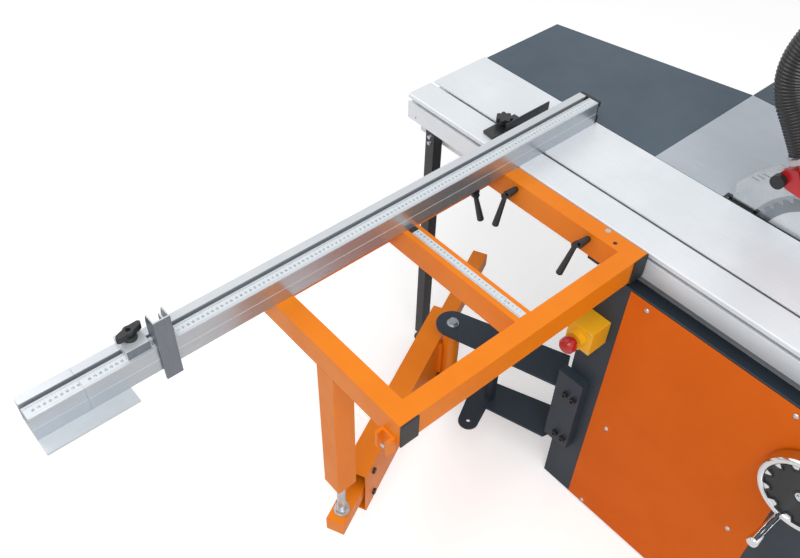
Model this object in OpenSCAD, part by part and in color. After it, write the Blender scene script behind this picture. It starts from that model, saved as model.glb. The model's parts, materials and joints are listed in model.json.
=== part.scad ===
// Sliding table saw: cabinet, tables, sliding table with outrigger, crosscut fence and swing arm.
// X to the right across the tables, Y to the rear along the sliding table, Z up.
// The origin lies on the floor straight below the centre of the raised blade.

/* [Height and blade] */
// Height of all table tops above the floor
table_h = 860; // [840:1:900]
// Saw blade diameter
blade_d = 315; // [250:1:320]
// Depth of the blade centre below the table top at full height
arbor_depth = 50; // [49:1:56]
// Thickness of the blade over its teeth
blade_t = 3.2; // [2.8:0.1:3.6]
// Number of blade teeth
blade_teeth = 40; // [24:1:48]

/* [Sliding table] */
// Width of the sliding table
slider_w = 265; // [262:1:270]
// Length of the sliding table
slider_l = 1600; // [1500:10:1700]
// Height of the sliding table profile
slider_h = 70; // [68:1:72]
// Distance from the blade plane to the right edge of the sliding table
edge_gap = 10; // [10:0.5:11]
// Distance from the blade centre to the rear end of the sliding table
slider_rear = 957; // [940:1:970]
// Distance from the left edge of the sliding table to the middle of its slot
slot_in = 80; // [76:1:84]
// Width of a slot mouth
slot_w = 10; // [8:0.5:11]
// Width of the fixed rail
rail_w = 107; // [100:1:110]
// Depth of the rail underside below the table top
rail_depth = 115; // [112:1:120]

/* [Cabinet] */
// Distance from the blade plane to the left side of the cabinet
cab_left = 318; // [316:1:325]
// Distance from the blade plane to the right side of the cabinet
cab_right = 380; // [370:1:384]
// Distance from the blade centre to the rear of the cabinet
cab_rear = 298; // [290:1:304]
// Distance from the blade centre to the front of the cabinet
cab_front = 382; // [376:1:386]
// Sheet thickness of the cabinet
sheet = 3; // [2:0.5:4]

/* [Fixed tables] */
// Distance from the blade centre to the rear edge of the main table
main_rear = 409; // [400:1:415]
// Distance from the blade centre to the front edge of the main table
main_front = 401; // [395:1:410]
// Thickness of the main table casting at its rim
main_t = 45; // [42:1:50]
// Width of the rear table at its far end
rear_w = 271; // [260:1:290]
// Width of the right table
right_w = 300; // [250:5:360]

/* [Outrigger] */
// Height of the outrigger tubes
tube_h = 60; // [55:1:62]
// Width of the outrigger tubes
tube_w = 42; // [38:1:44]
// Distance from the blade centre to the front of the outrigger frame, rearwards
frame_front = 219; // [210:1:226]
// Reach of the outrigger frame to the left of the sliding table
frame_reach = 666; // [640:1:700]
// Side of the square outrigger leg
leg_s = 50; // [45:1:50]
// Length of the outrigger leg below its tube
leg_l = 405; // [395:1:406]

/* [Crosscut fence] */
// Distance from the blade centre to the face of the crosscut fence
fence_y = 580; // [574:1:586]
// Depth of the fence profile
fence_d = 57; // [54:1:60]
// Height of the fence profile
fence_h = 58; // [55:1:60]
// Length of the fence profile
fence_l = 1300; // [1280:5:1310]
// Length of the end piece of the fence extension
ext_end = 99; // [80:1:110]

/* [Swing arm] */
// Width of the arm housing
arm_w = 60; // [58:1:62]
// Height of the arm housing
arm_h = 152; // [152:1:154]
// Length of the arm housing
arm_l = 570; // [560:1:580]
// Side of the telescopic tube
inner_s = 45; // [44:1:46]
// Length of the telescopic tube
inner_l = 980; // [940:1:990]

/* [Suction hose] */
// Outside diameter of the hose over its ribs
hose_d = 80; // [80:1:84]
// Number of hose ribs
hose_ribs = 180; // [150:1:200]

/* [Hidden] */
$fn = 48;

// Colours
anthracite = "#36424c";
orange = "#e8761c";
panel_orange = "#cc5f1a";
alloy = "#d9dee3";
cast = "#aab2bc";
slate = "#5a6773";
black = "#1c1e21";
zinc = "#c3c8cc";

// Clearances
slide_gap = 0.5;
run_gap = 0.05;
part_gap = 0.3;
fence_z = table_h + part_gap;
seam = 2;
cut = 1;

// Sliding table section, from its right edge leftwards and from the top down
slider_left = -edge_gap - slider_w;
overhang_t = 8.5;
lip_t = 5;
lip_w = 6;
skirt_r = 35;
skirt_l = 30;
rail_play = 1.5;
channel_r = slider_left + skirt_l + rail_w + 2 * rail_play;
channel_depth = 30;
slider_front = slider_rear - slider_l;
rail_inset = 17;
rail_left = slider_left + skirt_l + rail_play;
rod_l_x = rail_left - rail_play / 2;
rail_right = rail_left + rail_w;
rod_r_x = rail_right + rail_play / 2;
rail_top = channel_depth + part_gap;
rail_rear = slider_rear - rail_inset;
rail_l = slider_l - 2 * rail_inset;
rod_d = 8;
rod_drop = 22;
slot_depth = 16;
slot_inner = 18;
slot_lip = 5;
side_slot_drop = 17;
end_t = 5;

// Cabinet
deck_z = table_h - rail_depth;
side_top = table_h - slider_h - seam;
deck_right = -128;
blade_gap_r = -95;
plinth_h = 60;
panel_y0 = -231;
panel_y1 = 208;
screw_ys = [panel_y0 + 52, panel_y1 - 46];
screw_zs = [table_h - 96, table_h - 516, 14];
screw_d = 6;
panel_t = 2;

// Tables
table_left = -edge_gap + seam;
skin_t = 8;
throat_r = 140;
throat_y = 275;
rear_t = 40;
fold_t = 4;

// Strip beside the blade
strip_rear = 227;
strip_front = -240;
strip_t = 4;
strip_r = 12;

// Outrigger frame
gap_frame = 4;
frame_right = slider_left - gap_frame;
frame_left = frame_right - frame_reach + 4;
side_y = frame_front;
rear_beam_y = fence_y + 44;
mid_x = frame_right - 341;
wall = 3;
cap_t = 4;
clip_w = gap_frame;

// Leg of the outrigger, under its left tube
leg_x = frame_left + leg_s / 2;
leg_y = frame_front + 213 + leg_s / 2 - 25;
leg_bottom = table_h - tube_h - leg_l;

// Crosscut fence
fence_right = -20;

fence_slot = 33;
pin_x = fence_right - 30;
pin_r = 6;
fence_left = fence_right - fence_l;
fence_wall = 3;
bar_l = 700;
stop_x = fence_left + 85;

// Swing arm bracket and pivot
pivot_x = -400;
pivot_y = 617;
upper_z = table_h - 473;
lower_z = table_h - 692;
plate_t = 6;
pivot_r = 12;
pivot_tube_r = 22;
arm_off = 58.3;
// Offset of the leg spindle from the pivot, across the arm
leg_off = 57.07;
leg_d = norm([leg_x - pivot_x, leg_y - pivot_y]);
leg_turn = asin(leg_off / leg_d);
arm_a = atan2(pivot_y - leg_y, pivot_x - leg_x) + leg_turn;
arm_top = table_h - 537;
arm_bottom = arm_top - arm_h;
arm_back = 95;
roller_d = 48;
roller_in = 42;
inner_top = table_h - 592;
inner_front = leg_d * cos(leg_turn) + 32.82;
spindle_r = 10;
bracket_x = -344;
flange_y = cab_rear + 13;
flange_w = 73;
flange_lo = table_h - 671;
flange_hi = table_h - 413;
bolt_zs = [table_h - 476, table_h - 636];
bolt_ys = [flange_y - 34, flange_y - 58];

// Saw unit
pivot_z = table_h;
arbor_z = table_h - arbor_depth;
blade_r = blade_d / 2;
arbor_r = 12;
housing_r = 30;
housing_x = 14;
housing_l = 58;
pulley_x = 80;
pulley_w = 26;
arbor_pulley_r = 28;
motor_pulley_r = 42;
motor_z = arbor_z - 270;
beam_lo = table_h - 312;
rail_tube_r = 20;
ledge_z = table_h - 282;
rise_lo = table_h - 160;
rise_hi = table_h - 88;
motor_r = 70;
motor_x = 118;
motor_l = 190;
rod_x = 44;
rod_y = 92;
rod_r = 10;
key_in = 100;
key_out = 120;
trunnion_y = 240;
key_t = 12;
key_from = -79;
key_to = -26;
groove_from = -128;
sector_r = 225;
sector_teeth = 120;
sector_t = 6;
tooth_h = 5;
worm_starts = 2;
worm_r = 9;
worm_z = table_h - 237;
wheel_y = -265;
wheel_x = -cab_left - 38;
wheel_r = 90;
screw_x = 44;
screw_y = 0;
screw_r = 9;
knife_t = 2.6;
knife_in = 168;
rise_wheel_z = table_h - 330;
rise_slot_r = norm([screw_x, table_h - rise_wheel_z]);
rise_a0 = atan2(rise_wheel_z - table_h, screw_x);
shaft_r = 11;

// Route of the hose from the guard over the tables and down to the port behind the cabinet
HOSE = [[0, 90, 1038], [0, 138, 1102], [1, 162, 1132], [3, 178, 1165], [8, 183, 1204],
    [20, 176, 1250], [44, 166, 1292], [84, 158, 1326], [138, 155, 1344], [202, 158, 1342], [270, 168, 1322],
    [334, 186, 1292], [393, 206, 1259], [451, 223, 1225], [508, 237, 1190], [564, 247, 1151], [617, 253, 1108],
    [664, 257, 1059], [702, 257, 1002], [728, 254, 939], [739, 248, 872], [740, 241, 804], [738, 235, 736],
    [718, 229, 671], [676, 224, 618], [617, 221, 583], [550, 220, 570], [482, 220, 570], [396, 220, 570]];
hose_r = hose_d / 2;
hose_end_y = 220;
hose_end_z = 570;
hose_bore_r = hose_r - 5;
hose_sides = 8;
spigot_r = hose_bore_r * cos(180 / hose_sides) - part_gap;

// A plate in the YZ plane, from x to x plus t
module plate_yz(x, t) {
    translate([x, 0, 0])
        rotate([90, 0, 90])
            linear_extrude(t)
                children();
}

// A plate in the XZ plane, from y to y plus t
module plate_xz(y, t) {
    translate([0, y + t, 0])
        rotate([90, 0, 0])
            linear_extrude(t)
                children();
}

// A box with its low corner and its high corner
module block(a, b) {
    translate(a)
        cube(b - a);
}

// A rounded rectangle from corner a to corner b
module round_rect(a, b, r) {
    hull()
        for (x = [a[0] + r, b[0] - r], y = [a[1] + r, b[1] - r])
            translate([x, y])
                circle(r, $fn = 24);
}

// A ring sector of inner radius ri and outer radius ro, from angle a0 to a1
module sector(ri, ro, a0, a1) {
    n = ceil((a1 - a0) / 5);
    step = (a1 - a0) / n;
    polygon(concat([for (i = [0 : n]) ro * [cos(a0 + i * step), sin(a0 + i * step)]],
        [for (i = [n : -1 : 0]) ri * [cos(a0 + i * step), sin(a0 + i * step)]]));
}

// The section of a slot that opens upwards at the origin
module slot_section(w, inner, lip, depth) {
    translate([-w / 2, -lip - cut])
        square([w, lip + 2 * cut]);
    translate([-inner / 2, -depth])
        square([inner, depth - lip]);
}

// Hexagon head with its bottom at the origin
module hex_head(across, h) {
    cylinder(d = across / cos(30), h = h, $fn = 6);
}

// Dome head screw with a short shank, head along the Z axis
module dome_screw(d, shank) {
    translate([0, 0, -shank])
        cylinder(d = d, h = shank);
    intersection() {
        translate([0, 0, -d * 0.55])
            sphere(d * 1.15);
        cylinder(d = d * 2, h = d);
    }
}

// Socket head bolt with its seat at the origin
module socket_bolt(d, shank) {
    difference() {
        union() {
            translate([0, 0, -shank])
                cylinder(d = d, h = shank);
            cylinder(d = d * 1.6, h = d);
        }
        translate([0, 0, d * 0.4])
            hex_head(d * 0.8, d);
    }
}

// Hand wheel with a dished rim, scalloped disc and hub, axis along Z, front face at z = 0
module hand_wheel(r, bore_r) {
    rim_r = 8;
    disc_t = 12;
    scallops = 14;
    rotate_extrude($fn = 72)
        difference() {
            translate([r - rim_r, -rim_r])
                circle(rim_r, $fn = 20);
            translate([0, -2 * rim_r])
                square([r - 1.6 * rim_r, 2 * rim_r]);
        }
    difference() {
        translate([0, 0, -rim_r - disc_t])
            cylinder(r = r - rim_r * 1.3, h = disc_t, $fn = 72);
        for (i = [0 : scallops - 1])
            rotate(i * 360 / scallops)
                translate([r - rim_r * 1.3, 0, -rim_r - disc_t - cut])
                    cylinder(r = 7, h = disc_t + 2 * cut, $fn = 24);
        translate([0, 0, -rim_r - disc_t - cut])
            cylinder(r = bore_r, h = disc_t + 2 * cut);
    }
    difference() {
        translate([0, 0, -rim_r - disc_t - 14])
            cylinder(r = 20, h = 18);
        translate([0, 0, -rim_r - disc_t - 14 - cut])
            cylinder(r = bore_r, h = 18 + 2 * cut);
    }
}

// Turning grip on its stud, axis along Z from the wheel face outwards
module wheel_grip(l) {
    rotate_extrude()
        polygon([[0, 0], [6, 0], [6, 2], [7.5, 4], [9, l * 0.4], [12, l - 4], [10.5, l], [0, l]]);
}

// Indexed clamping lever: hub along +Z from the origin, arm to the elbow and grip to the tip in the XY plane
module clamp_lever(elbow, tip) {
    head_z = 24;
    run = sqrt(elbow[0] * elbow[0] + elbow[1] * elbow[1]);
    turn = atan2(elbow[1], elbow[0]);
    grip = [tip[0] - elbow[0], tip[1] - elbow[1]];
    difference() {
        union() {
            cylinder(d = 11, h = 4);
            translate([0, 0, 3])
                cylinder(d1 = 14, d2 = 19, h = head_z + 4);
            // Flat arm from the head to the elbow
            translate([0, 0, head_z - 9])
                linear_extrude(12)
                    rotate(turn) {
                        translate([0, -6])
                            square([run, 12]);
                        translate([run, 0])
                            circle(7.5);
                    }
            translate([elbow[0], elbow[1], head_z - 3])
                rotate([90, 0, atan2(grip[1], grip[0]) + 90])
                    rotate([-4, 0, 0])
                        cylinder(r1 = 5.2, r2 = 8, h = norm(grip), $fn = 32);
        }
        translate([0, 0, head_z + 1])
            cylinder(d = 9, h = 8);
    }
}

module cabinet() {
    in_l = -cab_left + sheet;
    in_r = cab_right - sheet;
    in_f = -cab_front + sheet;
    in_b = cab_rear - sheet;
    top_r = table_h - main_t;
    post_w = 45;
    color(anthracite)
        difference() {
            union() {
                block([-cab_left, -cab_front, 0], [deck_right, cab_rear, deck_z]);
                block([deck_right - cut, -cab_front, 0], [blade_gap_r + cut, cab_rear, deck_z]);
                block([blade_gap_r, -cab_front, 0], [cab_right, cab_rear, top_r]);
                block([-cab_left, -cab_front, deck_z - cut], [in_l, cab_rear, side_top]);
            }
            block([in_l, in_f, sheet], [deck_right + cut, in_b, deck_z - sheet]);
            block([deck_right, in_f, sheet], [in_r, in_b, top_r + cut]);
            block([-cab_left - cut, panel_y0 + 20, plinth_h], [in_l + cut, panel_y1 - 20, deck_z - 12]);
            // Curved slot of the height wheel in the front wall
            translate([0, 0, pivot_z])
                plate_xz(-cab_front - cut, sheet + 2 * cut)
                    sector(rise_slot_r - 14, rise_slot_r + 14, rise_a0 - 50, rise_a0 + 4);
            // Hole of the tilt shaft in the left wall
            translate([-cab_left - cut, wheel_y, worm_z])
                rotate([0, 90, 0])
                    cylinder(r = shaft_r + run_gap, h = sheet + 2 * cut);
            // Dust outlet in the rear wall
            translate([60, cab_rear + cut, 240])
                rotate([90, 0, 0])
                    cylinder(r = 57, h = sheet + 2 * cut);
            // Outlet of the guard's hose in the right wall
            translate([cab_right + cut, hose_end_y, hose_end_z])
                rotate([0, -90, 0])
                    cylinder(r = spigot_r - 3, h = sheet + 2 * cut);
        }
}

module side_panel() {
    color(panel_orange)
        translate([-cab_left - panel_t, 0, 0])
            rotate([90, 0, 90])
                linear_extrude(panel_t)
                    difference() {
                        translate([panel_y0, 4])
                            square([panel_y1 - panel_y0, side_top - 8]);
                        translate([wheel_y, worm_z])
                            circle(shaft_r + 1);
                        for (y = screw_ys, z = screw_zs)
                            translate([y, z])
                                circle(d = screw_d + 2 * part_gap);
                    }
}

module cabinet_bolts() {
    color(zinc) {
        for (y = screw_ys, z = screw_zs)
            translate([-cab_left - panel_t, y, z])
                rotate([0, -90, 0])
                    dome_screw(screw_d, panel_t);
    }
    color(black)
        for (z = bolt_zs, y = bolt_ys)
            translate([bracket_x, y, z])
                rotate([0, -90, 0])
                    socket_bolt(10, -bracket_x - cab_left);
}

module main_table() {
    rib_t = 8;
    color(cast)
        difference() {
            union() {
                block([table_left, -main_front, table_h - skin_t], [cab_right, main_rear, table_h]);
                difference() {
                    block([table_left, -main_front, table_h - main_t], [cab_right, main_rear, table_h - cut]);
                    block([table_left - cut, -throat_y, table_h - main_t - cut], [throat_r, throat_y, table_h]);
                    for (x = [throat_r + rib_t, (throat_r + cab_right) / 2 + rib_t / 2],
                         y = [-main_front + 12, -123, 130])
                        block([x, y, table_h - main_t - cut],
                            [x + (cab_right - throat_r) / 2 - 2 * rib_t, y + 245, table_h]);
                    for (y = [-main_front + 12, throat_y + rib_t])
                        block([table_left + rib_t, y, table_h - main_t - cut],
                            [throat_r, y + 103, table_h]);
                }
            }
            block([table_left - cut, strip_front - part_gap, table_h - strip_t],
                [strip_r + part_gap, strip_rear + part_gap, table_h + cut]);
            block([table_left - cut, strip_front + 10, table_h - skin_t - cut],
                [strip_r - 3, strip_rear - 8, table_h]);
        }
}

module rear_table() {
    color(slate)
        translate([0, 0, table_h - rear_t])
            difference() {
                linear_extrude(rear_t)
                    polygon([[table_left, main_rear + part_gap], [cab_right, main_rear + part_gap],
                        [table_left + rear_w, slider_rear - 6], [table_left, slider_rear - 6]]);
                translate([0, 0, -cut])
                    linear_extrude(rear_t - fold_t + cut)
                        polygon([[table_left + fold_t, main_rear + seam + fold_t],
                            [cab_right - fold_t - 1, main_rear + seam + fold_t],
                            [table_left + rear_w - fold_t - 1, slider_rear - 6 - fold_t],
                            [table_left + fold_t, slider_rear - 6 - fold_t]]);
            }
}

module right_table() {
    x0 = cab_right + seam;
    color(slate)
        difference() {
            block([x0, -main_front, table_h - rear_t], [x0 + right_w, main_rear, table_h]);
            block([x0 + fold_t, -main_front + fold_t, table_h - rear_t - cut],
                [x0 + right_w - fold_t, main_rear - fold_t, table_h - fold_t]);
        }
}

module slot_strip() {
    color(black)
        difference() {
            block([table_left, strip_front, table_h - strip_t], [strip_r, strip_rear, table_h]);
            block([table_left + 2.5, strip_front + 10, table_h - strip_t - cut], [3.5, strip_rear - 5, table_h + cut]);
            block([table_left - cut, strip_front + 10, table_h - strip_t - cut], [0, strip_rear - 5, table_h - 2]);
        }
}

module slider_section() {
    groove_z = -rod_drop - channel_depth;
    difference() {
        polygon([[slider_left + 2, 0], [-edge_gap, 0], [-edge_gap, -lip_t], [-edge_gap - lip_w, -overhang_t],
            [channel_r + skirt_r, -overhang_t], [channel_r + skirt_r, -slider_h], [channel_r, -slider_h],
            [channel_r, -channel_depth], [slider_left + skirt_l, -channel_depth],
            [slider_left + skirt_l, -slider_h], [slider_left, -slider_h], [slider_left, -2]]);
        translate([slider_left + slot_in, 0])
            slot_section(slot_w, slot_inner, slot_lip, slot_depth);
        translate([slider_left, -side_slot_drop])
            rotate(90)
                slot_section(slot_w, slot_inner, slot_lip, slot_depth);
        for (x = [rod_l_x, rod_r_x])
            translate([x, groove_z])
                circle(d = rod_d + 2 * part_gap);
        // Hollow chambers
        translate([slider_left + 5, -slider_h + 4])
            square([skirt_l - 14, 30]);
        translate([channel_r + 9, -slider_h + 4])
            square([skirt_r - 13, slider_h - 4 - 12]);
        translate([channel_r - 60, -channel_depth + 4])
            square([52, channel_depth - 9]);
    }
}

module slider_table() {
    color(alloy) {
        difference() {
            translate([0, slider_rear, table_h])
                rotate([90, 0, 0])
                    linear_extrude(slider_l)
                        slider_section();
            // Bore for the swivel pin of the crosscut fence
            translate([pin_x, fence_y + fence_d / 2, table_h - overhang_t - cut])
                cylinder(r = pin_r + run_gap, h = overhang_t + 2 * cut);
            // Bolt hole near the rear end
            translate([slider_left - cut, slider_rear - 30, table_h - slider_h + 12])
                rotate([0, 90, 0])
                    cylinder(d = 6, h = 8);
        }
    }
}

module rail_section() {
    mid = (rail_left + rail_right) / 2;
    groove_z = -rod_drop - channel_depth;
    difference() {
        translate([rail_left, -rail_depth])
            square([rail_w, rail_depth - rail_top]);
        for (x = [rod_l_x, rod_r_x])
            translate([x, groove_z])
                circle(d = rod_d - 0.4);
        translate([rail_left + 12, -rail_depth + 6])
            square([rail_w - 24, 22]);
        translate([rail_left + 14, -rail_top - 40])
            square([rail_w - 28, 34]);
        translate([mid, -rail_depth])
            rotate(180)
                slot_section(slot_w, slot_inner, slot_lip, slot_depth - 10);
    }
}

module slide_rail() {
    groove_z = table_h - rod_drop - channel_depth;
    color(alloy)
        translate([0, rail_rear, table_h])
            rotate([90, 0, 0])
                linear_extrude(rail_l)
                    rail_section();
    // Hardened guide rods pressed into the grooves
    color(zinc)
        for (x = [rod_l_x, rod_r_x])
            translate([x, rail_rear, groove_z])
                rotate([90, 0, 0])
                    cylinder(d = rod_d, h = rail_l);
}

module rail_leg() {
    s = 30;
    x = rail_left - s;
    y = slider_rear - 98;
    top = table_h - slider_h - seam;
    color(black) {
        difference() {
            block([x, y, 28], [x + s, y + s, top]);
            block([x + 2, y + 2, 28 - cut], [x + s - 2, y + s - 2, top - 3]);
        }
        translate([x + s / 2, y + s / 2, 0])
            cylinder(d1 = 46, d2 = 26, h = 12);
        translate([x + s / 2, y + s / 2, 0])
            cylinder(d = 10, h = 34);
        translate([x + s / 2, y + s / 2, 24])
            cylinder(d = 25.4, h = 10);
    }
    color(zinc)
        for (z = [table_h - 86, table_h - 104])
            translate([x, y + s / 2, z])
                rotate([0, -90, 0])
                    hex_head(10, 5);
}

module arm_bracket() {
    post = [-363, 489];
    ear = [-460, 472];
    near = [bracket_x, flange_y];
    far = [-cab_left + 72, flange_y + 38];
    color(anthracite)
        difference() {
            union() {
                // Upper plate with its round end at the pivot
                translate([0, 0, upper_z - plate_t])
                    linear_extrude(plate_t)
                        hull() {
                            translate([pivot_x, pivot_y])
                                circle(44);
                            polygon([near, [-cab_left, flange_y - 6], far]);
                        }
                // Lower plate with its ear
                translate([0, 0, lower_z - plate_t])
                    linear_extrude(plate_t)
                        union() {
                            hull() {
                                translate([pivot_x, pivot_y])
                                    circle(40);
                                polygon([near, [-cab_left, flange_y - 6], far]);
                            }
                            hull() {
                                translate(ear)
                                    circle(27);
                                translate([-400, 500])
                                    circle(30);
                            }
                        }
                // Folded flange against the cabinet side
                block([bracket_x, flange_y - flange_w, flange_lo], [-cab_left, flange_y, flange_hi]);
                // Post between the plates
                block([post[0] - 10, post[1] - 10, lower_z - cut], [post[0] + 10, post[1] + 10, upper_z - cut]);
            }
            block([bracket_x + 6, flange_y - flange_w + 6, flange_lo - cut],
                [-cab_left + cut, flange_y + cut, flange_hi - 5]);
            for (z = [upper_z, lower_z])
                translate([pivot_x, pivot_y, z - plate_t - cut])
                    cylinder(r = pivot_r + run_gap, h = plate_t + 2 * cut);
            translate([ear[0], ear[1], lower_z - plate_t - cut])
                cylinder(d = 11, h = plate_t + 2 * cut);
            for (z = bolt_zs, y = bolt_ys)
                translate([bracket_x - cut, y, z])
                    rotate([0, 90, 0])
                        cylinder(d = 10.6, h = 10);
        }
}

module pivot_bolt() {
    color(zinc)
        translate([pivot_x, pivot_y, 0]) {
            translate([0, 0, lower_z - plate_t - 12])
                cylinder(r = pivot_r, h = upper_z - lower_z + plate_t + 14);
            translate([0, 0, upper_z])
                cylinder(r = 16, h = 2.5);
            translate([0, 0, upper_z + 2.5])
                hex_head(22, 8);
            translate([0, 0, lower_z - plate_t - 12])
                hex_head(30, 11.7);
        }
}

module estop_box() {
    s = 68;
    y1 = cab_rear;
    z0 = table_h - 261;
    x1 = -cab_left;
    color("#f0b41e")
        difference() {
            union() {
                translate([x1 - 60, y1 - s, z0])
                    cube([60, s, s]);
                translate([x1 - 78, y1 - s / 2, z0 + s / 2])
                    rotate([0, 90, 0])
                        cylinder(d = 44, h = 20);
            }
            translate([x1 - 86, y1 - s / 2, z0 + s / 2])
                rotate([0, 90, 0])
                    cylinder(r = 11 + run_gap, h = 60);
        }
}

module estop_button() {
    s = 68;
    y = cab_rear - s / 2;
    z = table_h - 261 + s / 2;
    color("#b9151b")
        translate([-cab_left, y, z])
            rotate([0, -90, 0])
                rotate_extrude()
                    polygon([[0, 46], [11, 46], [11, 86], [19, 88], [20, 92], [19, 102], [15, 107], [0, 108.5]]);
}

module control_box() {
    x0 = 150;
    z0 = table_h - 230;
    color(anthracite)
        difference() {
            block([x0, -cab_front - 45, z0], [x0 + 120, -cab_front, z0 + 110]);
            translate([x0 + 60, -cab_front - 46, z0 + 55])
                rotate([-90, 0, 0])
                    cylinder(r = 14 + run_gap, h = 30);
        }
}

module switch_button() {
    color("#b9151b")
        translate([210, -cab_front - 45, table_h - 175])
            rotate([90, 0, 0])
                rotate_extrude()
                    polygon([[0, -20], [14, -20], [14, 8], [20, 9], [20, 16], [17, 19], [0, 20]]);
}

module dust_port() {
    color(anthracite) {
        translate([60, cab_rear, 240])
            rotate([-90, 0, 0])
                difference() {
                    union() {
                        cylinder(r = 60, h = 60);
                        cylinder(r = 76, h = 4);
                    }
                    translate([0, 0, -cut])
                        cylinder(r = 57, h = 62);
                }
        // Smaller port that the guard's hose goes over
        translate([cab_right, hose_end_y, hose_end_z])
            rotate([0, 90, 0])
                difference() {
                    union() {
                        cylinder(r = spigot_r, h = 60);
                        cylinder(r = 52, h = 4);
                    }
                    translate([0, 0, -cut])
                        cylinder(r = spigot_r - 3, h = 62);
                }
    }
}

module rip_rail() {
    color(zinc)
        translate([table_left + 20, -main_front - 60, table_h - 55])
            rotate([0, 90, 0])
                cylinder(r = rail_tube_r, h = 640);
    color(anthracite)
        for (x = [60, 330, 560])
            difference() {
                union() {
                    block([x, -main_front - 60, table_h - 72], [x + 30, -main_front, table_h - 62]);
                    block([x, -main_front - 10, table_h - 72], [x + 30, -main_front, table_h - 32]);
                }
                translate([x - cut, -main_front - 60, table_h - 55])
                    rotate([0, 90, 0])
                        cylinder(r = rail_tube_r - 1, h = 32);
            }
}

module rip_fence() {
    x0 = 430;
    y_end = main_rear - 245;
    y_rail = -main_front - 60;
    color(alloy)
        difference() {
            block([x0, -main_front + 20, table_h + 0.5], [x0 + 48, y_end, table_h + 80.5]);
            block([x0 + 4, -main_front + 19, table_h + 4.5], [x0 + 44, y_end + cut, table_h + 40]);
            block([x0 + 4, -main_front + 19, table_h + 44], [x0 + 44, y_end + cut, table_h + 76.5]);
        }
    color(anthracite)
        difference() {
            union() {
                block([x0 - 20, y_rail - 35, table_h - 72], [x0 + 90, y_rail + 35, table_h - 20]);
                block([x0 - 4, y_rail + 20, table_h - 27.5], [x0 + 70, -main_front - 3, table_h + 36]);
                block([x0 - 4, -main_front - 4, table_h + 0.5], [x0 + 70, -main_front + 20.5, table_h + 36]);
            }
            translate([x0 - 21, y_rail, table_h - 55])
                rotate([0, 90, 0])
                    cylinder(r = rail_tube_r + part_gap, h = 112);
            block([x0 - 21, y_rail - 12, table_h - 73], [x0 + 91, y_rail + 36, table_h - 60]);
        }
}

module rip_lever() {
    x = 464;
    y = -main_front - 60;
    color(black) {
        translate([x, y, table_h - 20 + part_gap])
            cylinder(d = 26, h = 18);
        translate([x, y - 6, table_h - 8])
            rotate([78, 0, 0])
                cylinder(d1 = 16, d2 = 20, h = 80);
    }
}

module trunnions() {
    foot_z = -main_t - 31;
    color(cast)
        for (y = [-trunnion_y, trunnion_y - key_t])
            translate([0, 0, pivot_z])
                plate_xz(y, key_t)
                    difference() {
                        union() {
                            sector(key_in - 12, key_out + 12, groove_from, key_to + 5);
                            polygon([[104, -60], [throat_r + 12, foot_z + 6], [throat_r + 12, -main_t],
                                [throat_r - 30, -main_t], [92, -44]]);
                        }
                        sector(key_in - part_gap, key_out + part_gap, groove_from + 2, key_to + 1);
                    }
    // Feet bolted under the rim of the main table
    color(cast)
        for (y = [-trunnion_y - 10, trunnion_y - key_t])
            block([throat_r - 30, y, table_h - main_t - 10], [throat_r + 12, y + key_t + 10, table_h - main_t]);
}

module tilt_carriage() {
    pitch = 360 / sector_teeth;
    arm_y = trunnion_y + 0.5;
    gear_y = wheel_y + sector_t / 2;
    color(cast) {
        for (s = [-1, 1])
            translate([0, 0, pivot_z]) {
                // Arc key in the groove of the trunnion, and the arm that carries it
                plate_xz(s > 0 ? arm_y - key_t : -arm_y, key_t)
                    sector(key_in, key_out, key_from, key_to);
                plate_xz(s > 0 ? arm_y - 0.2 : -arm_y - key_t, key_t + 0.2)
                    difference() {
                        union() {
                            sector(key_in, key_out, key_from, key_to);
                            polygon([[28, -108], [96, -66], [92, -120], [80, beam_lo - pivot_z],
                                [58, beam_lo - pivot_z], [40, -190]]);
                        }
                        translate([66, -150])
                            circle(18);
                        translate([64, -205])
                            circle(12);
                    }
            }
        // Beam between the arms
        block([66, -arm_y - key_t, beam_lo], [78, arm_y + key_t, ledge_z + 10]);
        // Side plates and ledges that hold the guide rods
        for (s = [-1, 1]) {
            block([rod_x - 16, s * 126 - 4, ledge_z], [78, s * 126 + 4, table_h - 74]);
            for (z = [ledge_z, table_h - 84])
                block([rod_x - 16, s * 103 - 27, z], [78, s * 103 + 27, z + 10]);
        }
        // Bearings of the height drive
        difference() {
            block([rod_x - 16, -30, ledge_z], [78, 30, ledge_z + 10]);
            translate([screw_x, screw_y, ledge_z - cut])
                cylinder(r = screw_r - 2 + run_gap, h = 12);
        }
        difference() {
            block([rod_x - 20, -trunnion_y - 12.5, rise_wheel_z - 22], [78, 1 - trunnion_y, ledge_z]);
            translate([screw_x, wheel_y, rise_wheel_z])
                rotate([-90, 0, 0])
                    cylinder(r = shaft_r + run_gap, h = 60);
        }
    }
    color(zinc)
        for (s = [-1, 1])
            translate([rod_x, s * rod_y, ledge_z])
                cylinder(r = rod_r, h = table_h - 74 - ledge_z);
    // Toothed sector of the tilt drive on its pads
    color(cast)
        translate([0, 0, pivot_z]) {
            plate_xz(wheel_y - sector_t / 2, sector_t) {
                sector(sector_r - 24, sector_r - tooth_h / 2, -98, -38);
                for (i = [-2 : 16])
                    rotate(-90 + (i + 0.5) * pitch)
                        polygon([[sector_r - tooth_h, -3.2], [sector_r + tooth_h / 2, -1.8],
                            [sector_r + tooth_h / 2, 1.8], [sector_r - tooth_h, 3.2]]);
            }
            plate_xz(gear_y - cut, -arm_y - gear_y - key_t + 2 * cut)
                sector(sector_r - 24, sector_r - 8, -74, -66);
        }
}

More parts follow.
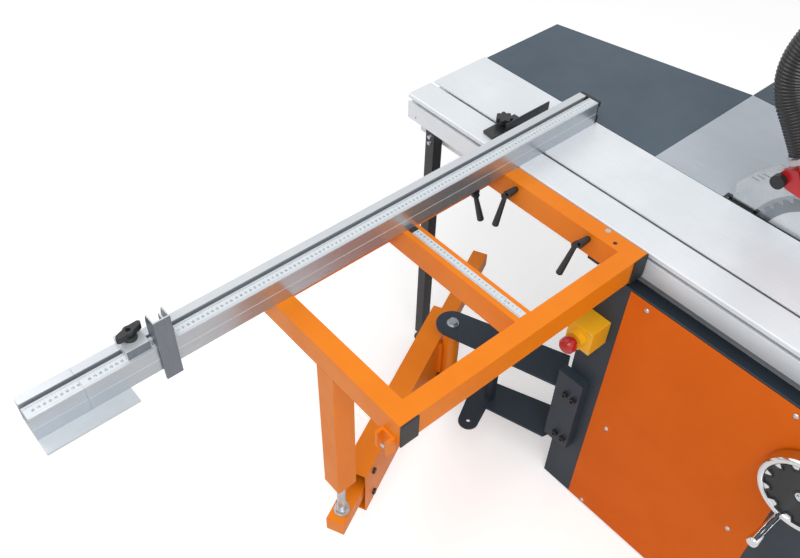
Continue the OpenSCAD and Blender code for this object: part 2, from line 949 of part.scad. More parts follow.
module rise_carriage() {
    arm_y = 84;
    color(anthracite)
        difference() {
            union() {
                // Slide block on the guide rods
                block([rod_x - 16, -rod_y - 16, rise_lo], [rod_x + 14, rod_y + 16, rise_hi]);
                // Arbor housing and its neck
                translate([housing_x, 0, arbor_z])
                    rotate([0, 90, 0])
                        cylinder(r = housing_r, h = housing_l);
                block([rod_x - 16, -22, rise_hi - cut], [rod_x + 14, 22, arbor_z]);
                for (s = [-1, 1])
                    plate_yz(rod_x - 6, 12)
                        polygon([[s * 20, rise_hi - cut], [s * 60, rise_hi - cut], [s * 20, arbor_z - 8]]);
                // Arms out to the motor plate
                for (s = [-1, 1])
                    block([rod_x + 10, s * arm_y - 6, rise_lo], [motor_x - cut, s * arm_y + 6, rise_hi - 14]);
                plate_yz(motor_x - 6, 6)
                    polygon([[-90, rise_hi - 14], [90, rise_hi - 14], [90, motor_z + 40], [60, motor_z - 74],
                        [-60, motor_z - 74], [-90, motor_z + 40]]);
                // Holder of the riving knife, beside the blade
                block([8, 92, rise_lo + 6], [rod_x - 15, 107, rise_lo + 42]);
                block([8, 92, rise_lo + 6], [rod_x - 18, 205, rise_lo + 42]);
                block([knife_t / 2, knife_in, rise_lo + 6], [20, 205, rise_lo + 42]);
            }
            for (s = [-1, 1])
                translate([rod_x, s * rod_y, rise_lo - cut])
                    cylinder(r = rod_r + run_gap, h = rise_hi - rise_lo + 2 * cut);
            translate([housing_x - cut, 0, arbor_z])
                rotate([0, 90, 0])
                    cylinder(r = arbor_r + run_gap, h = housing_l + 2 * cut);
            translate([screw_x, screw_y, rise_lo - cut])
                cylinder(r = screw_r + run_gap, h = 84);
            translate([motor_x - 8, 0, motor_z])
                rotate([0, 90, 0])
                    cylinder(r = 16, h = 10);
            translate([motor_x - 8, 0, motor_z + 100])
                rotate([0, 90, 0])
                    cylinder(r = 34, h = 10);
        }
}

module arbor() {
    color(zinc)
        translate([0, 0, arbor_z])
            rotate([0, 90, 0])
                union() {
                    translate([0, 0, -18])
                        cylinder(r = 10, h = 22);
                    translate([0, 0, blade_t / 2 + part_gap])
                        cylinder(r = 30, h = 8);
                    translate([0, 0, blade_t / 2 + part_gap])
                        cylinder(r = arbor_r, h = pulley_x + 2 - blade_t / 2 - part_gap);
                    translate([0, 0, pulley_x])
                        grooved_pulley(arbor_pulley_r, pulley_w);
                }
}

// Poly-V pulley along Z
module grooved_pulley(r, w) {
    grooves = 5;
    p = (w - 6) / grooves;
    rotate_extrude()
        polygon(concat([[0, 0], [r + 2, 0], [r + 2, 2]],
            [for (i = [0 : grooves - 1]) each [[r, 3 + i * p], [r - 2, 3 + (i + 0.5) * p], [r, 3 + (i + 1) * p]]],
            [[r + 2, w - 2], [r + 2, w], [0, w]]));
}

// One blade with round-backed gullets and carbide tips
module saw_blade() {
    pitch = 360 / blade_teeth;
    body_t = 2.2;
    root = blade_r - 13;
    color(zinc)
        translate([0, 0, arbor_z])
            rotate([0, 90, 0]) {
                difference() {
                    translate([0, 0, -body_t / 2])
                        linear_extrude(body_t)
                            polygon([for (i = [0 : blade_teeth - 1]) each [
                                (blade_r - 0.6) * [cos(i * pitch), sin(i * pitch)],
                                (blade_r - 3) * [cos((i + 0.42) * pitch), sin((i + 0.42) * pitch)],
                                (root + 3) * [cos((i + 0.56) * pitch), sin((i + 0.56) * pitch)],
                                root * [cos((i + 0.74) * pitch), sin((i + 0.74) * pitch)],
                                (root + 3) * [cos((i + 0.92) * pitch), sin((i + 0.92) * pitch)]]]);
                    translate([0, 0, -body_t])
                        cylinder(r = 10 + run_gap, h = 2 * body_t);
                    for (i = [0 : 3])
                        rotate(i * 90 + 20)
                            translate([root - 6, -0.8, -body_t])
                                cube([10, 1.6, 2 * body_t]);
                }
            }
    // Outer flange and nut
    color(zinc)
        translate([0, 0, arbor_z])
            rotate([0, -90, 0])
                difference() {
                    union() {
                        translate([0, 0, body_t / 2])
                            cylinder(r = 30, h = 5);
                        translate([0, 0, body_t / 2 + 5])
                            hex_head(26, 10);
                    }
                    translate([0, 0, -cut])
                        cylinder(r = 10 + run_gap, h = 22);
                }
}

module motor() {
    fins = 24;
    color(anthracite)
        translate([motor_x, 0, motor_z])
            rotate([0, 90, 0]) {
                difference() {
                    union() {
                        cylinder(r = motor_r - 5, h = motor_l);
                        cylinder(r = motor_r, h = 12);
                        translate([0, 0, motor_l - 34])
                            cylinder(r = motor_r, h = 34);
                        for (i = [0 : fins - 1])
                            rotate(i * 360 / fins)
                                translate([motor_r - 6, -1.5, 11])
                                    cube([5, 3, motor_l - 44]);
                    }
                    translate([0, 0, -cut])
                        cylinder(r = 9 + run_gap, h = 62);
                }
                translate([-motor_r - 34, -34, 50])
                    cube([36, 68, 80]);
            }
}

module motor_pulley() {
    color(zinc)
        translate([pulley_x, 0, motor_z])
            rotate([0, 90, 0]) {
                grooved_pulley(motor_pulley_r, pulley_w);
                cylinder(r = 9, h = motor_x - pulley_x + 55);
            }
}

module drive_belt() {
    t = 4;
    r1 = arbor_pulley_r + part_gap;
    r2 = motor_pulley_r + part_gap;
    color(black)
        translate([pulley_x + 3, 0, 0])
            rotate([90, 0, 90])
                linear_extrude(pulley_w - 6)
                    difference() {
                        hull() {
                            translate([0, arbor_z])
                                circle(r1 + t);
                            translate([0, motor_z])
                                circle(r2 + t);
                        }
                        hull() {
                            translate([0, arbor_z])
                                circle(r1);
                            translate([0, motor_z])
                                circle(r2);
                        }
                    }
}

module riving_knife() {
    h = table_h;
    color(alloy)
        difference() {
            plate_yz(-knife_t / 2, knife_t)
                difference() {
                    polygon([[knife_in, h - 154], [205, h - 154], [209, h - 60], [209, h + 3], [212, h + 44],
                        [176, h + 100], [142, h + 133], [60, h + 128], [60, h + 92], [100, h - 40]]);
                    translate([0, arbor_z])
                        circle(blade_r + 6, $fn = 96);
                }
            translate([-knife_t, 124, table_h + 116])
                rotate([0, 90, 0])
                    cylinder(r = 4 + run_gap, h = 2 * knife_t);
            // Marks at the rear edge
            for (i = [0 : 2])
                translate([-knife_t / 2 - cut, 170 - i * 10, table_h + 74 + i * 10])
                    cube([cut + 0.3, 18, 1]);
        }
    // Clamp bolts through the foot
    color(zinc)
        for (y = [178, 195])
            translate([-knife_t / 2 - 4, y, h - 136])
                rotate([0, 90, 0])
                    hex_head(10, 4);
}

module blade_guard() {
    w = 42;
    t = 4;
    h = table_h;
    lean = [-atan2(3, 4), 0, 0];
    color("#b9151b")
        difference() {
            union() {
                plate_yz(-w / 2, w)
                    polygon([[139, h + 112], [122, h + 146], [60, h + 163], [-60, h + 165], [-160, h + 138],
                        [-192, h + 104], [-192, h + 74], [40, h + 96], [106, h + 102]]);
                translate([0, 60, h + 138])
                    rotate(lean)
                        cylinder(r = spigot_r, h = 92);
            }
            plate_yz(-w / 2 + t, w - 2 * t)
                polygon([[132, h + 111], [117, h + 142], [59, h + 158], [-59, h + 160], [-157, h + 134],
                    [-187, h + 103], [-187, h + 40], [60, h + 40], [106, h + 101]]);
            translate([0, 57, h + 134])
                rotate(lean)
                    cylinder(r = spigot_r - 3, h = 100);
            // Slit for the riving knife in the rear wall
            plate_yz(-knife_t / 2 - part_gap, knife_t + 2 * part_gap)
                polygon([[50, h + 60], [150, h + 60], [150, h + 134], [50, h + 134]]);
            translate([-w, 124, h + 102 + 14])
                rotate([0, 90, 0])
                    cylinder(r = 4 + run_gap, h = 2 * w);
        }
}

module guard_knob() {
    color(black)
        translate([0, 124, table_h + 116])
            rotate([0, -90, 0]) {
                translate([0, 0, -25])
                    cylinder(r = 4, h = 48);
                translate([0, 0, 21.3])
                    cylinder(d = 30, h = 14);
                translate([0, 0, -26])
                    hex_head(13, 4.7);
            }
}

module hose_clamp() {
    color(zinc)
        translate(HOSE[0])
            rotate([-36.9, 0, 0]) {
                difference() {
                    translate([0, 0, 8])
                        cylinder(r = hose_r + 2.3, h = 12);
                    translate([0, 0, 7])
                        cylinder(r = hose_r + part_gap, h = 14);
                }
                translate([-hose_r - 14, -7, 8])
                    cube([12, 20, 12]);
            }
}

module tilt_wheel() {
    lead = 2 * PI * sector_r / sector_teeth;
    rings = 5;
    color(zinc)
        translate([wheel_x, wheel_y, worm_z])
            rotate([0, 90, 0]) {
                rotate([180, 0, 0])
                    hand_wheel(wheel_r, 6);
                // Shaft with its worm under the toothed sector
                rotate_extrude()
                    polygon(concat([[0, 4], [shaft_r, 4], [shaft_r, -wheel_x - 70], [worm_r - 4.5, -wheel_x - 66],
                        [worm_r - 4.5, -wheel_x - rings * lead / 2]],
                        [for (i = [0 : rings - 1]) each [
                            [worm_r - 4.5, -wheel_x + (i - rings / 2 + 0.15) * lead],
                            [worm_r, -wheel_x + (i - rings / 2 + 0.4) * lead],
                            [worm_r, -wheel_x + (i - rings / 2 + 0.6) * lead],
                            [worm_r - 4.5, -wheel_x + (i - rings / 2 + 0.85) * lead]]],
                        [[worm_r - 4.5, -wheel_x + rings * lead / 2 + 6], [0, -wheel_x + rings * lead / 2 + 6]]));
                cylinder(r = 6, h = 8);
            }
}

module tilt_grip() {
    color(zinc)
        translate([wheel_x - 0.05, wheel_y + 14, worm_z - wheel_r + 10])
            rotate([0, -90, 0])
                wheel_grip(92);
}

module rise_wheel() {
    y = -cab_front - 36;
    shaft_l = -trunnion_y - y;
    color(zinc)
        translate([screw_x, y, rise_wheel_z])
            rotate([-90, 0, 0]) {
                rotate([180, 0, 0])
                    hand_wheel(wheel_r, 6);
                cylinder(r = 6, h = 8);
                translate([0, 0, 4])
                    cylinder(r = shaft_r, h = shaft_l + 200);
                // Bevel wheel on the inner end
                translate([0, 0, shaft_l + 190])
                    bevel_wheel();
            }
}

// Bevel wheel with its small end towards +Z
module bevel_wheel() {
    teeth = 12;
    difference() {
        cylinder(r1 = 20, r2 = 12, h = 10);
        for (i = [0 : teeth - 1])
            rotate(i * 360 / teeth)
                translate([15, -1.6, -cut])
                    rotate([0, -30, 0])
                        cube([12, 3.2, 20]);
    }
}

module rise_grip() {
    color(zinc)
        translate([screw_x, -cab_front - 36.05, rise_wheel_z + wheel_r - 10])
            rotate([90, 0, 0])
                wheel_grip(92);
}

module rise_screw() {
    ridge = 4;
    lo = ledge_z;
    count = 32;
    color(zinc)
        translate([screw_x, screw_y, lo])
            rotate_extrude()
                polygon(concat([[0, -42], [8, -42], [8, -12], [12, -12], [12, -part_gap], [screw_r - 2, -part_gap],
                    [screw_r - 2, 10.5]],
                    [for (i = [3 : count]) each [
                        [screw_r - 1.2, i * ridge], [screw_r, (i + 0.3) * ridge],
                        [screw_r, (i + 0.6) * ridge], [screw_r - 1.2, (i + 0.9) * ridge]]],
                    [[screw_r - 1.2, 133], [0, 133]]));
    color(zinc)
        translate([screw_x, screw_y, lo - 52])
            rotate([180, 0, 0])
                translate([0, 0, -11])
                    bevel_wheel();
}

// One outrigger tube with open ends, from corner a to corner b, along axis 0 or 1
module tube(a, b, axis) {
    c = [a[0] + (axis == 0 ? -cut : wall), a[1] + (axis == 1 ? -cut : wall), a[2] + wall];
    d = [b[0] - (axis == 0 ? -cut : wall), b[1] - (axis == 1 ? -cut : wall), b[2] - wall];
    difference() {
        block(a, b);
        block(c, d);
    }
}

module outrigger_frame() {
    lo = table_h - tube_h;
    hi = table_h;
    rear = rear_beam_y + tube_w;
    color(orange) {
        tube([frame_right - tube_w, frame_front, lo], [frame_right, rear, hi], 1);
        tube([frame_left, frame_front, lo], [frame_left + tube_w, rear, hi], 1);
        for (y = [frame_front, rear_beam_y])
            tube([frame_left + tube_w, y, lo], [frame_right - tube_w, y + tube_w, hi], 0);
        tube([mid_x, frame_front + tube_w, lo], [mid_x + tube_w, rear_beam_y, hi], 1);
    }
}

module outrigger_caps() {
    lo = table_h - tube_h;
    rear = rear_beam_y + tube_w;
    color(black)
        for (x = [frame_left, frame_right - tube_w], y = [frame_front - cap_t, rear])
            block([x, y, lo], [x + tube_w, y + cap_t, table_h]);
}

module frame_bolts() {
    color(zinc)
        for (y = [slider_rear - 375, slider_rear - 643])
            translate([frame_right - 9, y, table_h])
                cylinder(d = 12, h = 0.15);
    color(zinc)
        translate([frame_left - 4.5, frame_front + 41, table_h - 97])
            rotate([0, 90, 0])
                cylinder(d = 12, h = 4);
}

module outrigger_leg() {
    lo = table_h - tube_h;
    color(orange)
        difference() {
            block([leg_x - leg_s / 2, leg_y - leg_s / 2, leg_bottom], [leg_x + leg_s / 2, leg_y + leg_s / 2, lo]);
            block([leg_x - leg_s / 2 + wall, leg_y - leg_s / 2 + wall, leg_bottom + 6],
                [leg_x + leg_s / 2 - wall, leg_y + leg_s / 2 - wall, lo + cut]);
        }
}

module frame_fittings() {
    lo = table_h - tube_h;
    // Lug on the left tube
    color(orange)
        difference() {
            block([frame_left - 18, frame_front + 10, table_h - 86], [frame_left, frame_front + 44, table_h - 44]);
            block([frame_left - 19, frame_front + 16, table_h - 87], [frame_left - 5, frame_front + 38, table_h - 43]);
        }
    color(orange)
        block([frame_left - 0.5, frame_front + 30, table_h - 110], [frame_left + 5, frame_front + 52, lo]);
    // Clamp block and clips into the side slot of the sliding table
    color(black)
        block([frame_right - 39, frame_front + 80, lo - 10], [frame_right - 8, frame_front + 109, lo]);
    color(alloy)
        for (y = [slider_rear - 643, slider_rear - 375])
            block([frame_right, y - 30, table_h - side_slot_drop - 4.5],
                [slider_left + slot_lip + 4, y + 30, table_h - side_slot_drop + 4.5]);
}

module lever_at(y, elbow, tip) {
    color(black)
        translate([frame_right - tube_w - part_gap, y, table_h - 16])
            rotate([90, 0, -90])
                clamp_lever(elbow, tip);
}

module lever_rear() {
    lever_at(slider_rear - 416, [-12, -16], [-24, -106]);
}

module lever_front() {
    lever_at(slider_rear - 623, [-14, -16], [-34, -110]);
}

module lever_fence() {
    color(black)
        translate([-393, rear_beam_y - part_gap, table_h - 24])
            rotate([90, 0, 0])
                clamp_lever([8, -16], [28, -94]);
}

module fence_section() {
    difference() {
        square([fence_d, fence_h]);
        translate([fence_wall, fence_wall])
            square([fence_d - 2 * fence_wall, fence_h - slot_depth - 2 * fence_wall]);
        translate([fence_slot, fence_h])
            slot_section(slot_w, slot_inner, slot_lip, slot_depth);
        translate([-cut, fence_h / 2 - 0.6])
            square([1.4, 1.2]);
        translate([-cut, fence_h - 1])
            square([1.6, 2]);
    }
}

module fence_profile() {
    mid_y = fence_y + fence_d / 2;
    color(alloy) {
        translate([fence_left, fence_y, fence_z])
            rotate([90, 0, 90])
                linear_extrude(fence_l)
                    fence_section();
        // Swivel pin down into the sliding table
        translate([pin_x, mid_y, table_h - overhang_t])
            cylinder(r = pin_r, h = overhang_t + fence_wall);
    }
}

module fence_end_block() {
    color(black)
        difference() {
            block([fence_right, fence_y, fence_z + 1], [fence_right + 10, fence_y + fence_d, fence_z + fence_h]);
            block([fence_right + 4, fence_y - cut, fence_z + 20],
                [fence_right + 11, fence_y + fence_d / 2, fence_z + 45]);
        }
}

module fence_extension() {
    x0 = fence_left - ext_end;
    play = fence_wall + part_gap;
    inner_h = fence_h - slot_depth - 2 * fence_wall - 2 * part_gap;
    color(alloy) {
        translate([x0, fence_y, fence_z])
            rotate([90, 0, 90])
                linear_extrude(ext_end - part_gap)
                    fence_section();
        // Inner bar that slides in the fence profile
        difference() {
            block([x0 + ext_end - 30, fence_y + fence_wall - cut, fence_z + fence_wall - cut],
                [fence_left - part_gap, fence_y + fence_d - fence_wall + cut,
                    fence_z + fence_h - slot_depth - fence_wall + cut]);
            block([x0 + ext_end - 31, fence_y + play + 3, fence_z + play + 3],
                [fence_left, fence_y + fence_d - play - 3, fence_z + play + inner_h - 3]);
        }
        difference() {
            block([x0 + ext_end - 20, fence_y + play, fence_z + play],
                [fence_left + bar_l, fence_y + fence_d - play, fence_z + play + inner_h]);
            block([x0 + ext_end - 21, fence_y + play + 3, fence_z + play + 3],
                [fence_left + bar_l + cut, fence_y + fence_d - play - 3, fence_z + play + inner_h - 3]);
        }
    }
}

module support_plate() {
    x0 = fence_left - ext_end;
    color(alloy)
        block([x0, fence_y - 34, fence_z - 6], [x0 + 172, fence_y + fence_d - 4, fence_z]);
}

module stop_block() {
    z0 = fence_z + fence_h;
    y_slot = fence_y + fence_slot;
    color(alloy)
        difference() {
            union() {
                block([stop_x, fence_y + 6, z0 + part_gap], [stop_x + 44, fence_y + 55, z0 + 20]);
                block([stop_x + 4, y_slot - slot_w / 2 + 0.4, z0 - slot_lip - 1],
                    [stop_x + 40, y_slot + slot_w / 2 - 0.4, z0 + 1]);
                block([stop_x + 4, y_slot - slot_inner / 2 + 1, z0 - slot_depth + 3],
                    [stop_x + 40, y_slot + slot_inner / 2 - 1, z0 - slot_lip - part_gap]);
            }
        }
    // Bolt that the knob turns on
    color(alloy)
        translate([stop_x + 22, y_slot, z0 + 19])
            cylinder(r = 4, h = 13);
    // Pivot pin of the flip stop
    color(black)
        translate([stop_x + 43, fence_y + 17, z0 + 10])
            rotate([0, 90, 0]) {
                cylinder(r = 4, h = 50);
                translate([0, 0, 1 + 44])
                    cylinder(r = 7, h = 5);
            }
}

module stop_arm() {
    x0 = stop_x + 52;
    w = 33;
    y_web = -25;
    flange = [[y_web, -9], [-6, -9], [-4, -8], [4, -8], [8, -4], [8, 40], [2, 58], [y_web, 58]];
    color(alloy)
        translate([x0, fence_y + 17, fence_z + fence_h + 10])
            difference() {
                union() {
                    block([0, y_web, -90], [w, y_web + 3, 58]);
                    for (x = [0, w - 3]) {
                        block([x, y_web, -90], [x + 3, y_web + 6, 0]);
                        plate_yz(x, 3)
                            polygon(flange);
                    }
                    block([19, y_web, 14], [22, y_web + 18, 58]);
                }
                translate([-cut, 0, 0])
                    rotate([0, 90, 0])
                        cylinder(r = 4 + run_gap, h = w + 2 * cut);
            }
}

module stop_knob() {
    z0 = fence_z + fence_h + 20;
    color(black)
        translate([stop_x + 22, fence_y + fence_slot, z0])
            difference() {
                union() {
                    translate([0, 0, part_gap])
                        cylinder(d = 26, h = 10);
                    for (s = [0, 180])
                        rotate(s + 12)
                            translate([0, 0, 8])
                                linear_extrude(13)
                                    polygon([[0, -8], [14, -7], [23, -5], [27, 0], [24, 5], [14, 7], [0, 8]]);
                    translate([0, 0, 8])
                        cylinder(d = 20, h = 13);
                }
                translate([0, 0, -cut])
                    cylinder(r = 4 + run_gap, h = 16);
                translate([0, 0, 14])
                    cylinder(d = 9, h = 10);
            }
}

module edging_shoe() {
    y0 = slider_rear - 278;
    x0 = slider_left + 21;
    z0 = table_h + part_gap;
    color(black)
        difference() {
            union() {
                translate([0, 0, z0])
                    linear_extrude(8)
                        polygon([[x0, y0 + 8], [x0 + 4, y0 + 42], [x0 + 108, y0 + 42], [x0 + 108, y0 + 7],
                            [x0 + 55, y0]]);
                block([x0 + 40, y0 + 5, z0], [x0 + 188, y0 + 8, z0 + 28]);
            }
        }
    // Bolt whose head sits in the slot of the sliding table
    color(black)
        translate([slider_left + slot_in, y0 + 30, z0]) {
            translate([0, 0, -10])
                cylinder(r = 4, h = 32);
            translate([0, 0, -14])
                cylinder(d = 16, h = 6.5);
        }
}

module shoe_knob() {
    color(black)
        translate([slider_left + slot_in, slider_rear - 248, table_h + part_gap + 8.3])
            difference() {
                union() {
                    cylinder(d = 18, h = 10);
                    translate([0, 0, 8])
                        linear_extrude(12)
                            union() {
                                circle(15);
                                for (i = [0 : 6])
                                    rotate(i * 360 / 7)
                                        translate([15, 0])
                                            circle(5, $fn = 24);
                            }
                }
                translate([0, 0, -cut])
                    cylinder(r = 4 + run_gap, h = 16);
            }
}

// Puts a shape drawn along the arm, from the point beside the pivot, in its place
module on_arm() {
    translate([pivot_x, pivot_y, 0])
        rotate(arm_a)
            translate([0, arm_off, 0])
                children();
}

module arm_housing() {
    front = arm_back - arm_l;
    mid_z = (arm_top + arm_bottom) / 2;
    color(orange)
        difference() {
            union() {
                on_arm()
                    block([front, -arm_w / 2, arm_bottom], [arm_back, arm_w / 2, arm_top]);
                translate([pivot_x, pivot_y, lower_z + 1])
                    cylinder(r = pivot_tube_r, h = upper_z - plate_t - lower_z - 2);
                translate([pivot_x, pivot_y, arm_bottom + 8])
                    rotate(arm_a)
                        translate([-8, 10, 0])
                            cube([16, arm_off - arm_w / 2 - 8, arm_h - 30]);
            }
            on_arm() {
                block([front - cut, -arm_w / 2 + wall, arm_bottom + wall],
                    [arm_back + cut, arm_w / 2 - wall, arm_top - wall]);
                for (z = [inner_top + roller_d / 2 + part_gap, inner_top - inner_s - roller_d / 2 - part_gap])
                    translate([front + roller_in, -arm_w, z])
                        rotate([-90, 0, 0])
                            cylinder(r = 5 + run_gap, h = 2 * arm_w);
            }
            translate([pivot_x, pivot_y, lower_z])
                cylinder(r = pivot_r + run_gap, h = upper_z - lower_z);
        }
    // Rear slide pads
    color(black)
        on_arm()
            for (z = [[inner_top + part_gap, arm_top - wall], [arm_bottom + wall, inner_top - inner_s - part_gap]])
                block([arm_back - 60, -inner_s / 2, z[0]], [arm_back - 20, inner_s / 2, z[1]]);
}

module arm_roller(z) {
    front = arm_back - arm_l;
    color(black)
        on_arm()
            translate([front + roller_in, 0, z])
                rotate([90, 0, 0]) {
                    translate([0, 0, -inner_s / 2])
                        cylinder(d = roller_d, h = inner_s);
                    translate([0, 0, -arm_w / 2 - 5])
                        cylinder(r = 5, h = arm_w + 10);
                    translate([0, 0, arm_w / 2 + part_gap])
                        cylinder(r = 8, h = 5);
                }
}

module roller_top() {
    arm_roller(inner_top + roller_d / 2 + part_gap);
}

module roller_low() {
    arm_roller(inner_top - inner_s - roller_d / 2 - part_gap);
}

module arm_tube() {
    rear = inner_l - inner_front;
    color(orange)
        difference() {
            on_arm()
                block([-inner_front, -inner_s / 2, inner_top - inner_s], [rear, inner_s / 2, inner_top]);
            on_arm()
                block([-inner_front - cut, -inner_s / 2 + wall, inner_top - inner_s + wall],
                    [rear + cut, inner_s / 2 - wall, inner_top - wall]);
            translate([leg_x, leg_y, inner_top - inner_s - cut])
                cylinder(r = spindle_r + run_gap, h = inner_s + 2 * cut);
        }
    color(black)
        on_arm()
            for (x = [-inner_front - 3, rear])
                block([x, -inner_s / 2, inner_top - inner_s], [x + 3, inner_s / 2, inner_top]);
}

module leg_spindle() {
    color(zinc)
        translate([leg_x, leg_y, 0]) {
            translate([0, 0, inner_top - inner_s - 14])
                cylinder(r = spindle_r, h = leg_bottom - inner_top + inner_s + 12);
            translate([0, 0, inner_top])
                cylinder(r = 19, h = 3);
            translate([0, 0, inner_top + 3])
                hex_head(30, 13);
            translate([0, 0, inner_top - inner_s - 13])
                hex_head(30, 13);
        }
}

// Frames along the hose route, and rings of points about them
function unit(v) = v / norm(v);
function hose_dir(i) = i < 2 ? [0, 0.6, 0.8] :
    i > len(HOSE) - 3 ? [-1, 0, 0] : unit(HOSE[i + 1] - HOSE[i - 1]);
function ring(p, d, r) =
    let (u = unit(cross(d, [0.3, -1, 0.2])), v = cross(d, u))
    [for (k = [0 : hose_sides - 1]) p + r * (cos(k * 360 / hose_sides) * u + sin(k * 360 / hose_sides) * v)];

// Cumulative length, and the point and direction at a length
function hose_len(i) = i == 0 ? 0 : hose_len(i - 1) + norm(HOSE[i] - HOSE[i - 1]);
hose_at = [for (i = [0 : len(HOSE) - 1]) hose_len(i)];
hose_total = hose_at[len(HOSE) - 1];
function seg(s) = max([for (i = [0 : len(HOSE) - 2]) s >= hose_at[i] ? i : 0]);
function hose_point(s) = let (i = seg(s), t = (s - hose_at[i]) / (hose_at[i + 1] - hose_at[i]),
    h = hose_at[i + 1] - hose_at[i], a = HOSE[i], b = HOSE[i + 1], m = hose_dir(i) * h, n = hose_dir(i + 1) * h)
    a * (2 * t * t * t - 3 * t * t + 1) + m * (t * t * t - 2 * t * t + t)
    + b * (3 * t * t - 2 * t * t * t) + n * (t * t * t - t * t);
function hose_tangent(s) = let (e = 1, a = max(0, s - e), b = min(hose_total, s + e))
    s < e ? hose_dir(0) : s > hose_total - e ? hose_dir(len(HOSE) - 1) : unit(hose_point(b) - hose_point(a));

module suction_hose() {
    rings = concat([for (i = [0 : hose_ribs - 1]) each
        [[hose_total * i / hose_ribs, hose_r - 2.5], [hose_total * (i + 0.5) / hose_ribs, hose_r]]],
        [[hose_total, hose_r - 2.5]]);
    inner = [for (i = [0 : 40]) [hose_total * (1 - i / 40), hose_bore_r]];
    all = concat(rings, inner);
    pts = [for (q = all) each ring(hose_point(q[0]), hose_tangent(q[0]), q[1])];
    n = len(all);
    faces = [for (i = [0 : n - 1]) for (k = [0 : hose_sides - 1])
        let (a = i * hose_sides, b = ((i + 1) % n) * hose_sides, l = (k + 1) % hose_sides)
        each [[a + k, b + k, a + l], [a + l, b + k, b + l]]];
    color(black)
        polyhedron(pts, faces);
}

cabinet();
side_panel();
cabinet_bolts();
main_table();
rear_table();
right_table();
slot_strip();
slide_rail();
rail_leg();
arm_bracket();
pivot_bolt();
estop_box();
control_box();
dust_port();
rip_rail();
trunnions();
suction_hose();
slider_table();
outrigger_frame();
outrigger_caps();
frame_bolts();
outrigger_leg();
frame_fittings();
lever_rear();
lever_front();
lever_fence();
fence_profile();
fence_end_block();
fence_extension();
support_plate();
stop_block();
stop_arm();
stop_knob();
edging_shoe();
shoe_knob();
arm_housing();
arm_tube();
roller_top();
roller_low();
leg_spindle();
tilt_carriage();
rise_carriage();
arbor();
saw_blade();
motor();
motor_pulley();
drive_belt();
riving_knife();
blade_guard();
guard_knob();
hose_clamp();
tilt_wheel();
tilt_grip();
rise_wheel();
rise_grip();
rise_screw();
estop_button();
switch_button();
rip_fence();
rip_lever();
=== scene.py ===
"""Looks of the sliding table saw: finishes, softened edges, hose, hand wheels, lamps and camera."""

import json
import logging
import math
from dataclasses import dataclass
from enum import Enum
from typing import Callable, Iterable, Sequence

import bmesh
import bpy
from mathutils import Matrix, Vector

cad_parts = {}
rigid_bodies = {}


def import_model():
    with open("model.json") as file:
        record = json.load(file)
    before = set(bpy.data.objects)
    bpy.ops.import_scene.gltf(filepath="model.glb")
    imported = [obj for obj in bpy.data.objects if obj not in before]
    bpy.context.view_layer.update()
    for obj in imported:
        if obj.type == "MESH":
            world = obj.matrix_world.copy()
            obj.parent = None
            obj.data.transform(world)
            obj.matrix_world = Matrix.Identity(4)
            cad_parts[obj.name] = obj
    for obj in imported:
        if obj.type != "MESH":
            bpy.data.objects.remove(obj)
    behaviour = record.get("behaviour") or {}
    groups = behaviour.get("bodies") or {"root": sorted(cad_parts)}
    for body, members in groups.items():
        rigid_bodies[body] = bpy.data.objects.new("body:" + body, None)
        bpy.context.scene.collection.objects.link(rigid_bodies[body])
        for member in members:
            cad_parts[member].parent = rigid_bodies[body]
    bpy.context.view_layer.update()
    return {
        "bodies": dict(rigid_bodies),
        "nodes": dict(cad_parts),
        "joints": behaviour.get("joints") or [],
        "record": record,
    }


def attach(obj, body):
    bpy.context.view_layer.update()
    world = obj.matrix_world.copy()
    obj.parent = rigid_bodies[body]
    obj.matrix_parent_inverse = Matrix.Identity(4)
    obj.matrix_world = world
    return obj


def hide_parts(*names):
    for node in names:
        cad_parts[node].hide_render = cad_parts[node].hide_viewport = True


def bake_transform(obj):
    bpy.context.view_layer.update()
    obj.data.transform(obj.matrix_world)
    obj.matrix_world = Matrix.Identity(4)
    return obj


logging.basicConfig(level=logging.INFO, format="%(levelname)s %(message)s")
LOG = logging.getLogger("table_saw")

MM = 0.001
# Places in the CAD solids, in millimetres in the shared frame
TABLE = 860.0
FENCE_TOP = 918.3
FENCE_FRONT = 580.0
FENCE_GROOVE = 613.0
FENCE_SCALE = 606.5
FENCE_END = -1321.0
SLIDER_GROOVE = -195.0
GROOVE_HALF = 9.2
GROOVE_DEPTHS = (0.9, 17.0)
ARBOR_Z = 810.0
TILT_WHEEL = (-356.0, -265.0, 623.0)
RISE_WHEEL = (44.0, -418.0, 530.0)
# Clean-up of meshes: welds in metres, angles in degrees, the shortest edge in edge radii
COPY_WELD = 2e-6
MADE_WELD = 1e-6
FLAT_ANGLE = 0.6
CORNER_ANGLE = 35.0
SHARP_ANGLE = 40.0
SHORTEST_EDGE = 2.5
BUMP_DEPTH = 0.4 * MM
# A screw head's dome and its cross recess, as shares of its radius
SCREW_DOME = 0.42
RECESS_HALF = 0.16
RECESS_REACH = 0.62
RECESS_DEPTH = 0.3
SCREW_SEAT = -1e-4


def linear(hex_colour: str) -> tuple[float, float, float, float]:
    """Turns an sRGB hex colour into linear light.

    Args:
        hex_colour: Six hex digits after a hash sign.

    Returns:
        Red, green, blue and alpha.
    """
    parts = [int(hex_colour[i : i + 2], 16) / 255.0 for i in (1, 3, 5)]
    lin = [p / 12.92 if p <= 0.04045 else ((p + 0.055) / 1.055) ** 2.4 for p in parts]
    return (lin[0], lin[1], lin[2], 1.0)


